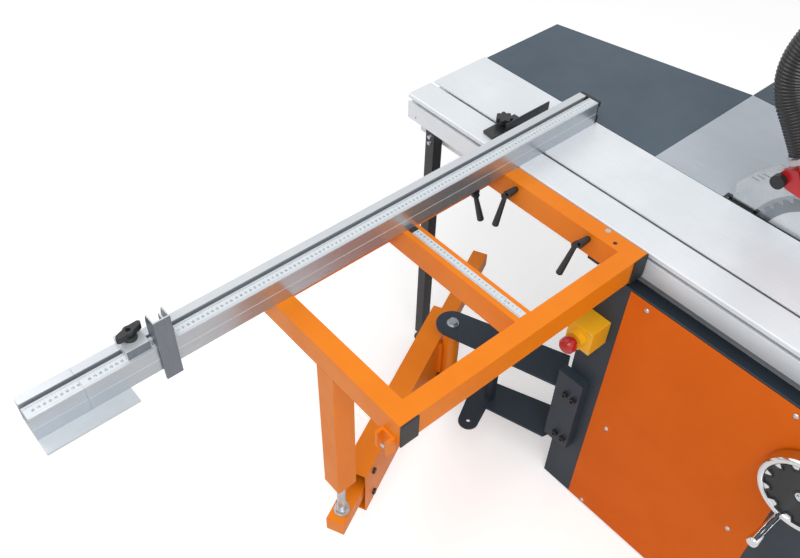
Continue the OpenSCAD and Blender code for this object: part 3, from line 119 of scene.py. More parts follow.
def add_node(
    tree: bpy.types.NodeTree, kind: str, settings: dict | None = None, links: dict | None = None
) -> bpy.types.Node:
    """Adds one node with its settings and its incoming links.

    Args:
        tree: Node tree of the material.
        kind: Blender's name for the node type.
        settings: Node attributes, or input values under the input's name.
        links: Output sockets under the name or index of the input they feed.

    Returns:
        The new node.
    """
    node = tree.nodes.new(kind)
    for key, value in (settings or {}).items():
        if isinstance(key, str) and hasattr(node, key):
            setattr(node, key, value)
        else:
            node.inputs[key].default_value = value
    for key, socket in (links or {}).items():
        tree.links.new(socket, node.inputs[key])
    return node


def remap(
    tree: bpy.types.NodeTree, value: bpy.types.NodeSocket, source: tuple[float, float],
    target: tuple[float, float],
) -> bpy.types.NodeSocket:
    """Adds a node that maps one range of values to another.

    Args:
        tree: Node tree of the material.
        value: Socket with the value.
        source: Low and high end of the range it has.
        target: Low and high end of the range it gets.

    Returns:
        The socket with the new value.
    """
    ends = {"From Min": source[0], "From Max": source[1], "To Min": target[0], "To Max": target[1]}
    return add_node(tree, "ShaderNodeMapRange", ends, {"Value": value}).outputs[0]


def empty_tree(owner: bpy.types.ID) -> bpy.types.NodeTree:
    """Turns on the nodes of a material or a world, and takes out the ready-made ones.

    Args:
        owner: The material or the world.

    Returns:
        Its empty node tree.
    """
    owner.use_nodes = True
    owner.node_tree.nodes.clear()
    return owner.node_tree


def put(name: str, data: bpy.types.ID) -> bpy.types.Object:
    """Makes an object and links it to the scene.

    Args:
        name: Its name.
        data: Its mesh, lamp or camera.

    Returns:
        The new object.
    """
    made = bpy.data.objects.new(name, data)
    bpy.context.scene.collection.objects.link(made)
    return made


def mesh_of(
    name: str, source: bmesh.types.BMesh, materials: Iterable[bpy.types.Material]
) -> bpy.types.Mesh:
    """Turns a bmesh into a mesh.

    Args:
        name: Name of the mesh.
        source: The bmesh, in metres in the shared frame. It is freed.
        materials: Materials in the order of the faces' material numbers.

    Returns:
        The mesh.
    """
    mesh = bpy.data.meshes.new(name)
    source.to_mesh(mesh)
    source.free()
    for material in materials:
        mesh.materials.append(material)
    return mesh


class Axis(Enum):
    """Direction that a brushed or extruded grain runs along."""

    X = (0.02, 1.0, 1.0)
    Y = (1.0, 0.02, 1.0)
    Z = (1.0, 1.0, 0.02)


@dataclass(frozen=True)
class Finish:
    """A surface finish: its colour, gloss and fine texture.

    Args:
        name: Name of the material and what it is.
        colour: Base colour as sRGB hex.
        second: Colour it varies towards, as sRGB hex.
        metallic: Metal share.
        roughness: Middle roughness.
        spread: How far the roughness varies.
        grain_mm: Size of the texture in millimetres.
        bump: Height of the texture, as bump strength.
        grain: Direction of brushed or extruded lines, or None for an even texture.
        coat: Weight of a clear coat.
        cloud_mm: Size of the soft colour variation in millimetres.
        sheen: Strength of the reflection on paint and plastic.
    """

    name: str
    colour: str
    second: str
    metallic: float = 0.0
    roughness: float = 0.5
    spread: float = 0.08
    grain_mm: float = 1.5
    bump: float = 0.05
    grain: Axis | None = None
    coat: float = 0.0
    cloud_mm: float = 180.0
    sheen: float = 0.5

    def build(self) -> bpy.types.Material:
        """Builds the node material, or finds it where another piece has it.

        Returns:
            The material.
        """
        found = bpy.data.materials.get(self.name)
        if found:
            return found
        mat = bpy.data.materials.new(self.name)
        tree = empty_tree(mat)
        place = add_node(tree, "ShaderNodeTexCoord").outputs["Object"]
        stretch = self.grain.value if self.grain else (1.0, 1.0, 1.0)
        scale = {"Scale": tuple(s / (self.grain_mm * MM) for s in stretch)}
        stretched = add_node(tree, "ShaderNodeMapping", scale, {"Vector": place}).outputs[0]
        small = {"Scale": 1.0, "Detail": 3.0}
        fine = add_node(tree, "ShaderNodeTexNoise", small, {"Vector": stretched}).outputs["Fac"]
        large = {"Scale": 1.0 / (self.cloud_mm * MM), "Detail": 4.0, "Roughness": 0.6}
        cloud = add_node(tree, "ShaderNodeTexNoise", large, {"Vector": place}).outputs["Fac"]
        share = remap(tree, cloud, (0.3, 0.7), (0.0, 1.0))
        if self.grain:
            lines = remap(tree, fine, (0.35, 0.65), (0.0, 0.55))
            total = {"operation": "ADD", "use_clamp": True}
            share = add_node(tree, "ShaderNodeMath", total, {0: share, 1: lines}).outputs[0]
        colours = {"data_type": "RGBA", 6: linear(self.colour), 7: linear(self.second)}
        tint = add_node(tree, "ShaderNodeMix", colours, {0: share}).outputs[2]
        ends = self.roughness - self.spread, self.roughness + self.spread
        rough = remap(tree, fine if self.grain else cloud, (0.25, 0.75), ends)
        height = {"Strength": self.bump, "Distance": BUMP_DEPTH}
        bump = add_node(tree, "ShaderNodeBump", height, {"Height": fine}).outputs[0]
        gloss = {
            "Metallic": self.metallic, "Specular IOR Level": self.sheen, "Coat Weight": self.coat,
            "Coat Roughness": 0.12,
        }
        inputs = {"Base Color": tint, "Roughness": rough, "Normal": bump}
        shader = add_node(tree, "ShaderNodeBsdfPrincipled", gloss, inputs)
        add_node(tree, "ShaderNodeOutputMaterial", None, {"Surface": shader.outputs[0]})
        return mat


# Powder coats: baked on, even colour with a fine orange peel and a soft satin gloss
GREY_COAT = Finish(
    "powder_coat_anthracite", "#313C46", "#2C363F", roughness=0.45, grain_mm=1.4, bump=0.12,
    sheen=0.3,
)
ORANGE_COAT = Finish(
    "powder_coat_orange", "#EC8410", "#E57A0B", roughness=0.42, grain_mm=1.4, bump=0.10, sheen=0.3
)
PANEL_COAT = Finish(
    "powder_coat_panel", "#DC6508", "#D45F07", roughness=0.46, grain_mm=1.4, bump=0.10, sheen=0.1
)
SLATE_COAT = Finish(
    "powder_coat_slate", "#4F5D69", "#4A5763", roughness=0.48, grain_mm=1.6, bump=0.12, sheen=0.25
)
# Anodised extrusions: pale, matt, with fine die lines along their length
ALLOY_Y = Finish(
    "anodised_aluminium_long", "#EAEEF1", "#DFE4E9", metallic=0.2, roughness=0.42, grain_mm=1.2,
    bump=0.05, grain=Axis.Y,
)
ALLOY_X = Finish(
    "anodised_aluminium_cross", "#D2D7DB", "#C6CBD0", metallic=0.35, roughness=0.36, grain_mm=1.2,
    bump=0.05, grain=Axis.X,
)
ALLOY_Z = Finish(
    "anodised_aluminium_upright", "#7F868E", "#747B83", metallic=0.5, roughness=0.36, grain_mm=1.2,
    bump=0.05, grain=Axis.Z,
)
# The fence's front face: painted shade, the same alloy made darker and more metallic than its top
ALLOY_FRONT_PAINTED_SHADE = Finish(
    "anodised_aluminium_front_painted_shade", "#C2C7CD", "#B8BEC4", metallic=0.8, roughness=0.30, spread=0.04,
    grain_mm=1.2, bump=0.05, grain=Axis.X,
)
# The floor of the sliding table's groove: painted light, plain white so that the shaded groove
# shows pale
ALLOY_SLOT_PAINTED_LIGHT = Finish(
    "anodised_aluminium_painted_light_slot", "#FFFFFF", "#F4F6F8", roughness=0.5, grain_mm=1.2, bump=0.0
)
# The inside of the grooves: the same metal, greyer where no light gets in
ALLOY_GROOVE = Finish(
    "anodised_aluminium_groove", "#A4AAB0", "#9AA0A6", roughness=0.5, grain_mm=1.2, bump=0.0
)
# Ground cast iron: grey with shallow grinding lines across the table
IRON_TABLE = Finish(
    "ground_cast_iron", "#B8BFC8", "#ACB4BD", metallic=0.3, roughness=0.40, grain_mm=1.6, bump=0.06,
    grain=Axis.Y,
)
IRON_RAW = Finish(
    "cast_iron_rough", "#5A5D61", "#4B4E52", metallic=0.4, roughness=0.62, grain_mm=2.2, bump=0.35
)
# Plated and bare steel: bluish zinc, clear chrome, and the blade's ground and lacquered faces
ZINC = Finish(
    "zinc_plated_steel", "#C6CBCF", "#B4BABF", metallic=0.9, roughness=0.30, grain_mm=0.9,
    bump=0.04, cloud_mm=20,
)
CHROME = Finish(
    "polished_chrome", "#E2E4E6", "#DADCDE", metallic=1.0, roughness=0.08, spread=0.03,
    grain_mm=1.0, bump=0.0, cloud_mm=60,
)
BLADE_BODY = Finish(
    "blade_body_steel", "#8E9399", "#83888E", metallic=0.6, roughness=0.3, grain_mm=0.8, bump=0.03,
    cloud_mm=50,
)
BLADE_LACQUER = Finish(
    "blade_clear_lacquer", "#D3D7DB", "#CACFD4", metallic=0.2, roughness=0.3, grain_mm=0.8,
    bump=0.0, cloud_mm=50,
)
BLADE_STEEL = Finish(
    "ground_blade_steel", "#C9CCCF", "#B9BDC1", metallic=0.95, roughness=0.26, grain_mm=0.8,
    bump=0.03, cloud_mm=50,
)
# Moulded plastics with a fine spark-eroded grain, rubber, and satin black paint
BLACK_PLASTIC = Finish(
    "moulded_nylon_black", "#1D1F22", "#24272A", roughness=0.48, grain_mm=0.9, bump=0.10,
    cloud_mm=60,
)
BLACK_PAINT = Finish(
    "black_painted_steel", "#1B1D20", "#212428", roughness=0.40, grain_mm=1.4, bump=0.10, coat=0.1
)
RUBBER = Finish(
    "hose_polyurethane_black", "#0F1011", "#161718", roughness=0.3, grain_mm=1.2, bump=0.04,
    coat=0.1, cloud_mm=90,
)
RED_PLASTIC = Finish(
    "moulded_abs_red", "#C2161D", "#B41219", roughness=0.26, spread=0.05, grain_mm=1.5, bump=0.03,
    coat=0.4,
)
YELLOW_PLASTIC = Finish(
    "moulded_abs_yellow", "#F2B81F", "#ECAE18", roughness=0.40, grain_mm=1.0, bump=0.08, cloud_mm=60
)
# Measuring strips
RULER = Finish(
    "printed_scale_strip", "#D6DDE2", "#CFD7DC", metallic=0.1, roughness=0.4, grain_mm=1.0, bump=0.0
)
INK = Finish("scale_ink", "#3A4149", "#434A52", roughness=0.5, grain_mm=1.0, bump=0.0)


def new_piece(
    name: str, mesh_source: bmesh.types.BMesh, body: str, finishes: Sequence[Finish]
) -> bpy.types.Object:
    """Turns a bmesh into a finished piece that rides on a body.

    Args:
        name: Name of the piece.
        mesh_source: The bmesh, in metres in the shared frame. It is freed.
        body: Body that the piece rides on.
        finishes: Finishes in the order of the faces' material numbers.

    Returns:
        The new object.
    """
    piece = put(name, mesh_of(name, mesh_source, [finish.build() for finish in finishes]))
    # Broad faces keep flat shading beside their rounded edges
    flats = piece.modifiers.new("true_flats", "WEIGHTED_NORMAL")
    flats.keep_sharp = True
    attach(piece, body)
    LOG.info("piece %s on %s", name, body)
    return piece


def sharpen(bm: bmesh.types.BMesh, angle: float) -> None:
    """Smooths faces and marks the edges above an angle as sharp.

    Args:
        bm: The bmesh.
        angle: Angle in degrees.
    """
    limit = math.radians(angle)
    for face in bm.faces:
        face.smooth = True
    for edge in bm.edges:
        if len(edge.link_faces) == 2:
            edge.smooth = edge.calc_face_angle(0.0) < limit
        else:
            edge.smooth = False


@dataclass
class SoftenedNode:
    """A CAD node shown with rounded edges, as folded sheet, casting or moulding has them.

    Args:
        node: Name of the CAD node.
        body: Body it rides on.
        slot: The record's material slot; not used.
        finishes: Its finishes.
        radius_mm: Radius of its edges.
        choose: Picks a finish number from a face's middle in millimetres.
        keep: Tells whether a face's corner, in millimetres, stays.
        segments: Faces across a rounded edge.
    """

    node: str
    body: str
    slot: str
    finishes: tuple[Finish, ...]
    radius_mm: float = 0.8
    choose: Callable[[Vector], int] | None = None
    keep: Callable[[Vector], bool] | None = None
    segments: int = 2

    def soften(self, bm: bmesh.types.BMesh) -> None:
        """Rounds the sharp edges that are long enough for it.

        Args:
            bm: The bmesh.
        """
        corner = math.radians(CORNER_ANGLE)
        shortest = SHORTEST_EDGE * self.radius_mm * MM
        sharp = [
            e
            for e in bm.edges
            if len(e.link_faces) == 2
            and e.calc_face_angle(0.0) > corner
            and e.calc_length() > shortest
        ]
        bmesh.ops.bevel(
            bm,
            geom=sharp,
            offset=self.radius_mm * MM,
            offset_type="OFFSET",
            segments=self.segments,
            profile=0.5,
            affect="EDGES",
            clamp_overlap=True,
            material=-1,
        )

    def build(self, frame: dict) -> bpy.types.Object:
        """Copies the node's mesh, merges it, rounds its edges and dresses it.


        Returns:
            The piece that stands for the node.
        """
        source = frame["nodes"][self.node]
        bm = bmesh.new()
        bm.from_mesh(source.data)
        bm.transform(source.matrix_world)
        bmesh.ops.remove_doubles(bm, verts=bm.verts, dist=COPY_WELD)
        bmesh.ops.dissolve_limit(
            bm,
            angle_limit=math.radians(FLAT_ANGLE),
            use_dissolve_boundaries=False,
            verts=bm.verts,
            edges=bm.edges,
            delimit={"NORMAL"},
        )
        if self.keep:
            gone = [f for f in bm.faces if not all(self.keep(v.co / MM) for v in f.verts)]
            bmesh.ops.delete(bm, geom=gone, context="FACES")
        for face in bm.faces:
            face.material_index = self.choose(face.calc_center_median() / MM) if self.choose else 0
        if self.radius_mm > 0:
            self.soften(bm)
        sharpen(bm, SHARP_ANGLE)
        piece = new_piece(self.node + "_dressed", bm, self.body, self.finishes)
        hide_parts(self.node)
        return piece


@dataclass
class SuctionHose:
    """The ribbed suction hose from the guard to the port in the cabinet's right wall.

    Args:
        route_mm: Points on its centre line.
        radius_mm: Radius over its ribs.
        rib_mm: Spacing of its ribs, near enough.
        sides: Corners of its section.
        split_mm: Length of the part next to the guard.
        dips: Place within one rib, as a share of it, and depth below the ribs' tops.
        cuff: Inner radius of a free end, as a share of the wall's, and its depth in metres.
        seam: The same where the two lengths meet.
    """

    route_mm: tuple[tuple[float, float, float], ...] = (
        (0, 90, 1038), (0, 138, 1102), (1, 162, 1132), (3, 178, 1165), (8, 183, 1204),
        (20, 176, 1250), (44, 166, 1292), (84, 158, 1326), (138, 155, 1344), (202, 158, 1342),
        (270, 168, 1322), (334, 186, 1292), (393, 206, 1259), (451, 223, 1225), (508, 237, 1190),
        (564, 247, 1151), (617, 253, 1108), (664, 257, 1059), (702, 257, 1002), (728, 254, 939),
        (739, 248, 872), (740, 241, 804), (738, 235, 736), (718, 229, 671), (676, 224, 618),
        (617, 221, 583), (550, 220, 570), (482, 220, 570), (396, 220, 570),
    )
    radius_mm: float = 40.0
    rib_mm: float = 6.0
    sides: int = 28
    split_mm: float = 545.0
    dips: tuple[tuple[float, float], ...] = ((0.0, 3.4), (0.25, 1.0), (0.5, 0.1), (0.75, 1.0))
    cuff: tuple[float, float] = (0.9, 0.04)
    seam: tuple[float, float] = (0.72, 0.006)

    def directions(self) -> list[Vector]:
        """Directions at the route's points.

        Returns:
            One unit vector for each point.
        """
        pts = [Vector(p) for p in self.route_mm]
        out = []
        for i in range(len(pts)):
            if i < 2:
                out.append(Vector((0, 0.6, 0.8)))
            elif i > len(pts) - 3:
                out.append(Vector((-1, 0, 0)))
            else:
                out.append((pts[i + 1] - pts[i - 1]).normalized())
        return out

    def line(self, step_mm: float = 1.0) -> list[Vector]:
        """Points close together along the route's smooth curve.

        Args:
            step_mm: Spacing of the points.

        Returns:
            The points in millimetres.
        """
        pts = [Vector(p) for p in self.route_mm]
        dirs = self.directions()
        line: list[Vector] = []
        for i in range(len(pts) - 1):
            a, b = pts[i], pts[i + 1]
            h = (b - a).length
            n = max(2, int(h / step_mm))
            for k in range(n):
                t = k / n
                line.append(
                    a * (2 * t**3 - 3 * t**2 + 1)
                    + dirs[i] * h * (t**3 - 2 * t**2 + t)
                    + b * (3 * t**2 - 2 * t**3)
                    + dirs[i + 1] * h * (t**3 - t**2)
                )
        line.append(pts[-1])
        return line

    def wall(
        self, line: list[Vector], lengths: list[float], low: int, high: int, ribs: int
    ) -> bmesh.types.BMesh:
        """Sweeps the ribbed wall between two ribs.

        Args:
            line: Points along the centre line in millimetres.
            lengths: Distance of each point from the guard.
            low: First rib.
            high: Rib after the last one.
            ribs: Number of ribs on the whole hose.

        Returns:
            The wall, with a turned-in lip at a free end.
        """
        step = lengths[-1] / ribs
        bm = bmesh.new()
        stations = [
            ((i + at) * step, self.radius_mm - dip)
            for i in range(low, high)
            for at, dip in self.dips
        ]
        stations.append((high * step, self.radius_mm - self.dips[0][1]))
        up = Vector((1, 0, 0))
        index = 0
        first: list[bmesh.types.BMEdge] = []
        previous: list[bmesh.types.BMEdge] = []
        for place, radius in stations:
            while index < len(lengths) - 2 and lengths[index + 1] < place:
                index += 1
            t = (place - lengths[index]) / (lengths[index + 1] - lengths[index])
            centre = line[index].lerp(line[index + 1], t)
            ahead = (line[min(index + 3, len(line) - 1)] - line[max(index - 2, 0)]).normalized()
            up = (up - ahead * up.dot(ahead)).normalized()
            turn = Matrix((ahead.cross(up), up, ahead)).transposed().to_4x4()
            seat = Matrix.Translation(centre * MM) @ turn
            ring = bmesh.ops.create_circle(
                bm, cap_ends=False, radius=radius * MM, segments=self.sides, matrix=seat
            )
            edges = list(
                {e for v in ring["verts"] for e in v.link_edges if e.other_vert(v) in ring["verts"]}
            )
            if previous:
                bmesh.ops.bridge_loops(bm, edges=previous + edges)
            first = first or edges
            previous = edges
        for rim, rib, sign in ((first, low, 1.0), (previous, high, -1.0)):
            share, depth = self.cuff if rib in (0, ribs) else self.seam
            middle = sum((v.co for e in rim for v in e.verts), Vector()) / (2 * len(rim))
            at = min(range(len(line)), key=lambda i: (line[i] * MM - middle).length)
            near = min(at + 2, len(line) - 1), max(at - 2, 0)
            heading = (line[near[0]] - line[near[1]]).normalized() * sign
            self.lip(bm, rim, middle, heading, share, depth)
        bmesh.ops.recalc_face_normals(bm, faces=bm.faces)
        for face in bm.faces:
            face.smooth = True
        return bm

    @staticmethod
    def lip(
        bm: bmesh.types.BMesh,
        rim: list[bmesh.types.BMEdge],
        middle: Vector,
        inwards: Vector,
        share: float,
        depth: float,
    ) -> None:
        """Turns the wall in at its end, as the cuff of a hose, and runs it back inside.

        Args:
            bm: The wall.
            rim: Edges of the end.
            middle: Middle of the end, in metres.
            inwards: Direction into the hose.
            share: Inner radius as a share of the wall's.
            depth: Length that runs back inside, in metres.
        """
        made = bmesh.ops.extrude_edge_only(bm, edges=rim)
        ring = [g for g in made["geom"] if isinstance(g, bmesh.types.BMVert)]
        bmesh.ops.scale(
            bm, verts=ring, vec=(share, share, share), space=Matrix.Translation(-middle)
        )
        inner = list({e for v in ring for e in v.link_edges if e.other_vert(v) in ring})
        deeper = bmesh.ops.extrude_edge_only(bm, edges=inner)
        far = [g for g in deeper["geom"] if isinstance(g, bmesh.types.BMVert)]
        bmesh.ops.translate(bm, verts=far, vec=inwards * depth)

    def build(self) -> None:
        """Builds both lengths of the hose."""
        line = self.line()
        lengths = [0.0]
        for a, b in zip(line, line[1:]):
            lengths.append(lengths[-1] + (b - a).length)
        total = lengths[-1]
        ribs = round(total / self.rib_mm)
        split = round(ribs * self.split_mm / total)
        cut = next(i for i, at in enumerate(lengths) if at >= split * total / ribs)
        spans = (
            (
                "hose_guard_length", 0, split, line[: cut + 1], ("rising", "tilting"),
                ((0, 100, 1052), (44, 166, 1292)),
            ),
            (
                "hose_port_length", split, ribs, line[cut:], ("tilting", "base"),
                ((300, 175, 1312), (728, 254, 939)),
            ),
        )
        for name, low, high, path, bodies, ends in spans:
            wall = self.wall(line, lengths, low, high, ribs)
            hose = put(name, mesh_of(name, wall, [RUBBER.build()]))
            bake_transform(hose)
            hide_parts("suction_hose")
            LOG.info("piece %s, %d ribs", name, high - low)


def facing(place_mm: Sequence[float], axis: Vector) -> Matrix:
    """Matrix that seats what was made about Z.

    Args:
        place_mm: Where its origin goes.
        axis: Direction that it faces.

    Returns:
        The matrix, in metres.
    """
    turn = axis.to_track_quat("Z", "Y").to_matrix().to_4x4()
    return Matrix.Translation(Vector(place_mm) * MM) @ turn


@dataclass
class HandWheel:
    """A hand wheel with a chrome rim, a black scalloped disc and a plated hub.

    Args:
        name: Start of its pieces' names.
        node: The CAD node that it stands for.
        body: Body it rides on.
        centre_mm: Middle of its front.
        axis: Direction that it faces.
        rim_mm: Outer radius of its rim.
        tube_mm: Radius of the rim's section.
        scallops: Notches round its disc.
        shaft_mm: Depth behind its front where its shaft begins.
        core_mm: Radius of what stays of the CAD node inside it.
    """

    name: str
    node: str
    body: str
    centre_mm: tuple[float, float, float]
    axis: Vector
    rim_mm: float = 90.0
    tube_mm: float = 8.0
    scallops: int = 12
    shaft_mm: float = 36.5
    core_mm: float = 13.0

    def spun(self, bm: bmesh.types.BMesh, section: Sequence[tuple[float, float]]) -> None:
        """Spins a closed section about the wheel's axis.

        Args:
            bm: The bmesh.
            section: Points as radius and height in millimetres.
        """
        verts = [bm.verts.new((r * MM, 0, z * MM)) for r, z in section]
        edges = [bm.edges.new((a, b)) for a, b in zip(verts, verts[1:] + verts[:1])]
        bmesh.ops.spin(
            bm,
            geom=verts + edges,
            cent=(0, 0, 0),
            axis=(0, 0, 1),
            dvec=(0, 0, 0),
            angle=2 * math.pi,
            steps=96,
            use_merge=True,
            use_duplicate=False,
        )

    def finished(
        self, bm: bmesh.types.BMesh, part: str, angle: float, finish: Finish
    ) -> bpy.types.Object:
        """Cleans a piece of the wheel and sets it in its place.

        Args:
            bm: The bmesh, in the wheel's own space. It is freed.
            part: End of the piece's name.
            angle: Angle in degrees above which its edges stay sharp.
            finish: Its finish.

        Returns:
            The piece.
        """
        bmesh.ops.remove_doubles(bm, verts=bm.verts, dist=MADE_WELD)
        bmesh.ops.recalc_face_normals(bm, faces=bm.faces)
        sharpen(bm, angle)
        bm.transform(facing(self.centre_mm, self.axis))
        return new_piece(f"{self.name}_{part}", bm, self.body, (finish,))

    def rim(self) -> bpy.types.Object:
        """Builds the chrome rim and the dished web inside it.

        Returns:
            The rim.
        """
        bm = bmesh.new()
        tube, outer = self.tube_mm, self.rim_mm
        middle = outer - tube
        turns = [k * math.pi / 12 for k in range(24)]
        self.spun(
            bm, [(middle + tube * math.cos(turn), tube * (math.sin(turn) - 1)) for turn in turns]
        )
        web = (
            (middle - 4, -1.2), (middle - 6.5, -4.4), (58.0, -5.6), (58.0, -13.5),
            (middle - 8, -12.5), (middle - 3, -13.0),
        )
        barrel = (
            (outer - 2.6, -6.0), (outer - 0.2, -8.0), (outer - 0.2, -30.0), (outer - 3.0, -30.0)
        )
        self.spun(bm, web)
        self.spun(bm, barrel)
        return self.finished(bm, "rim", SHARP_ANGLE, CHROME)

    def disc(self) -> bpy.types.Object:
        """Builds the black disc with its notched edge and dished face.

        Returns:
            The disc.
        """
        bm = bmesh.new()
        made = bmesh.ops.create_circle(bm, cap_ends=True, radius=1.0, segments=self.scallops * 16)
        largest, notch_mm, back_mm, thick_mm = self.rim_mm - 1.75 * self.tube_mm, 13.0, -14.0, 12.0
        for vert in made["verts"]:
            angle = math.atan2(vert.co.y, vert.co.x)
            notch = min(1.0, max(0.0, math.cos(angle * self.scallops) / 0.55))
            radius = (largest - notch_mm * notch) * MM
            vert.co = Vector((math.cos(angle) * radius, math.sin(angle) * radius, back_mm * MM))
        raised = bmesh.ops.extrude_face_region(bm, geom=bm.faces[:])
        top = [g for g in raised["geom"] if isinstance(g, bmesh.types.BMFace)]
        bmesh.ops.translate(
            bm, verts=list({v for f in top for v in f.verts}), vec=(0, 0, thick_mm * MM)
        )
        for thickness, depth in ((0.9, 0.7), (2.2, 0.0), (0.8, -3.0)):
            bmesh.ops.inset_region(
                bm, faces=top, thickness=thickness * MM, depth=depth * MM, use_even_offset=False
            )
        boss = (
            (0.5, -7.5), (11.0, -7.5), (12.5, -3.0), (16.0, -3.0), (18.0, -8.0), (18.0, -10.0),
            (0.5, -10.0),
        )
        self.spun(bm, boss)
        return self.finished(bm, "disc", CORNER_ANGLE, BLACK_PLASTIC)

    def hub(self) -> bpy.types.Object:
        """Builds the plated hub behind the disc and the screw in its middle.

        Returns:
            The hub.
        """
        bm = bmesh.new()
        barrel = ((7.0, -12.0), (19.0, -12.0), (19.0, -31.0), (17.0, -33.5), (7.0, -33.5))
        screw = (
            (0.5, -3.6), (3.6, -3.6), (3.6, -2.2), (6.0, -2.2), (7.5, -4.0), (7.5, -9.0),
            (0.5, -9.0),
        )
        self.spun(bm, barrel)
        self.spun(bm, screw)
        return self.finished(bm, "hub", CORNER_ANGLE, ZINC)

    def build(self, frame: dict) -> None:
        """Builds the wheel and keeps the shaft of the CAD node.
        """
        centre = Vector(self.centre_mm)

        def on_shaft(point: Vector) -> bool:
            """Tells whether a point is behind the wheel.

            Args:
                point: A point in millimetres.

            Returns:
                True behind the wheel or on the thin shaft inside it.
            """
            along = (point - centre).dot(self.axis)
            out = (point - centre - self.axis * along).length
            return along < -self.shaft_mm or out < self.core_mm

        shaft = SoftenedNode(self.node, self.body, "chrome", (ZINC,), 0.0, keep=on_shaft)
        shaft.build(frame)
        self.rim()
        self.disc()
        self.hub()


@dataclass(frozen=True)
class Scale:
    """A measuring strip with ticks every millimetre and small numbers.

    Args:
        name: Its name.
        body: Body it rides on.
        origin_mm: Its corner at the zero end, on the surface.
        along: Direction in which its numbers grow.
        across: Direction from its edge with the ticks to its other edge.
        length_mm: Its length.
        width_mm: Its width.
        start_mm: Reading at its zero end.
    """

    name: str
    body: str
    origin_mm: tuple[float, float, float]
    along: tuple[int, int, int]
    across: tuple[int, int, int]
    length_mm: float
    width_mm: float
    start_mm: int = 0

    STRIP_LIFT = 0.12
    INK_LIFT = 0.14
    TICK_HALF = 0.12
    DIGIT_PITCH = 2.1
    # Lengths of the ticks at tens, fives and ones, as shares of the width
    TICKS = ((10, 0.42), (5, 0.32), (1, 0.22))
    # The bars of each digit
    SEGMENTS = {
        "0": "abcdef", "1": "bc", "2": "abged", "3": "abgcd", "4": "fgbc", "5": "afgcd",
        "6": "afgecd", "7": "abc", "8": "abcdefg", "9": "abcdfg",
    }
    # Places of each bar, along and across, and whether it lies flat
    PLACES = {
        "a": (0, 2, True), "b": (1, 1, False), "c": (1, 0, False), "d": (0, 0, True),
        "e": (0, 0, False), "f": (0, 1, False), "g": (0, 1, True),
    }

    def quad(
        self, bm: bmesh.types.BMesh, low: tuple[float, float], high: tuple[float, float],
        lift: float, ink: int,
    ) -> None:
        """Adds one flat box in the strip's plane.

        Args:
            bm: The bmesh.
            low: Distance along and across of one corner.
            high: Distance along and across of the other.
            lift: Height above the surface.
            ink: Material number.
        """
        corner, run, side = Vector(self.origin_mm), Vector(self.along), Vector(self.across)
        places = [(low[0], low[1]), (high[0], low[1]), (high[0], high[1]), (low[0], high[1])]
        verts = [
            bm.verts.new((corner + run * u + side * v + Vector((0, 0, lift))) * MM)
            for u, v in places
        ]
        face = bm.faces.new(verts)
        if face.normal.z < 0 or run.cross(side).z < 0:
            face.normal_flip()
        face.material_index = ink

    def digit(self, bm: bmesh.types.BMesh, sign: str, at: float, top: float, size: float) -> None:
        """Draws one digit out of short bars.

        Args:
            bm: The bmesh.
            sign: The digit.
            at: Place of its left edge along the strip.
            top: Place of its top across the strip.
            size: Half its height.
        """
        wide, bar = size * 0.8, size * 0.24
        for segment in self.SEGMENTS[sign]:
            u, v, flat = self.PLACES[segment]
            left = at + u * wide
            low = top + (2 - v) * size
            if flat:
                self.quad(bm, (left, low), (left + wide + bar, low + bar), self.INK_LIFT, 1)
            else:
                self.quad(bm, (left, low - size), (left + bar, low + bar), self.INK_LIFT, 1)

    def build(self) -> None:
        """Builds the strip, its ticks and its numbers."""
        bm = bmesh.new()
        wide = self.width_mm
        self.quad(bm, (0, 0), (self.length_mm, wide), self.STRIP_LIFT, 0)
        for tick in range(1, int(self.length_mm)):
            reading = tick + self.start_mm
            tall = next(share for step, share in self.TICKS if reading % step == 0)
            self.quad(
                bm, (tick - self.TICK_HALF, 0.4), (tick + self.TICK_HALF, wide * tall),
                self.INK_LIFT, 1,
            )
            if reading % 10 == 0 and tick < self.length_mm - 8:
                for place, sign in enumerate(str(reading // 10)):
                    self.digit(
                        bm, sign, tick + (place - 1) * self.DIGIT_PITCH, wide * 0.54, wide * 0.11
                    )
        new_piece(self.name, bm, self.body, (RULER, INK))


SCALES = (
    Scale(
        "fence_scale", "fence", (-22.0, FENCE_SCALE, FENCE_TOP), (-1, 0, 0), (0, -1, 0), 1297.0,
        20.0,
    ),
    Scale(
        "extension_scale", "extension", (FENCE_END, FENCE_SCALE, FENCE_TOP), (-1, 0, 0), (0, -1, 0),
        97.0, 20.0, 1299,
    ),
    Scale("frame_ruler", "slider", (-607.5, 262.0, TABLE), (0, 1, 0), (1, 0, 0), 318.0, 19.0),
)


def cross_screw(
    name: str, body: str, place_mm: Vector, axis: Vector, radius_mm: float, finish: Finish,
) -> None:
    """Builds a domed screw head with a cross recess.

    Args:
        name: Its name.
        body: Body it rides on.
        place_mm: Middle of its seat.
        axis: Direction that it faces.
        radius_mm: Radius of its head.
        finish: Its finish.
    """
    bm = bmesh.new()
    bmesh.ops.create_uvsphere(bm, u_segments=32, v_segments=16, radius=radius_mm)
    bmesh.ops.delete(bm, geom=[v for v in bm.verts if v.co.z < SCREW_SEAT], context="VERTS")
    bmesh.ops.scale(bm, verts=bm.verts, vec=(1, 1, SCREW_DOME))
    for vert in bm.verts:
        arm = min(abs(vert.co.x), abs(vert.co.y))
        reach = vert.co.xy.length
        if arm < radius_mm * RECESS_HALF and reach < radius_mm * RECESS_REACH:
            vert.co.z -= radius_mm * RECESS_DEPTH
    bm.transform(Matrix.Scale(MM, 4))
    bm.transform(facing(place_mm, axis))
    sharpen(bm, SHARP_ANGLE)
    new_piece(name, bm, body, (finish,))


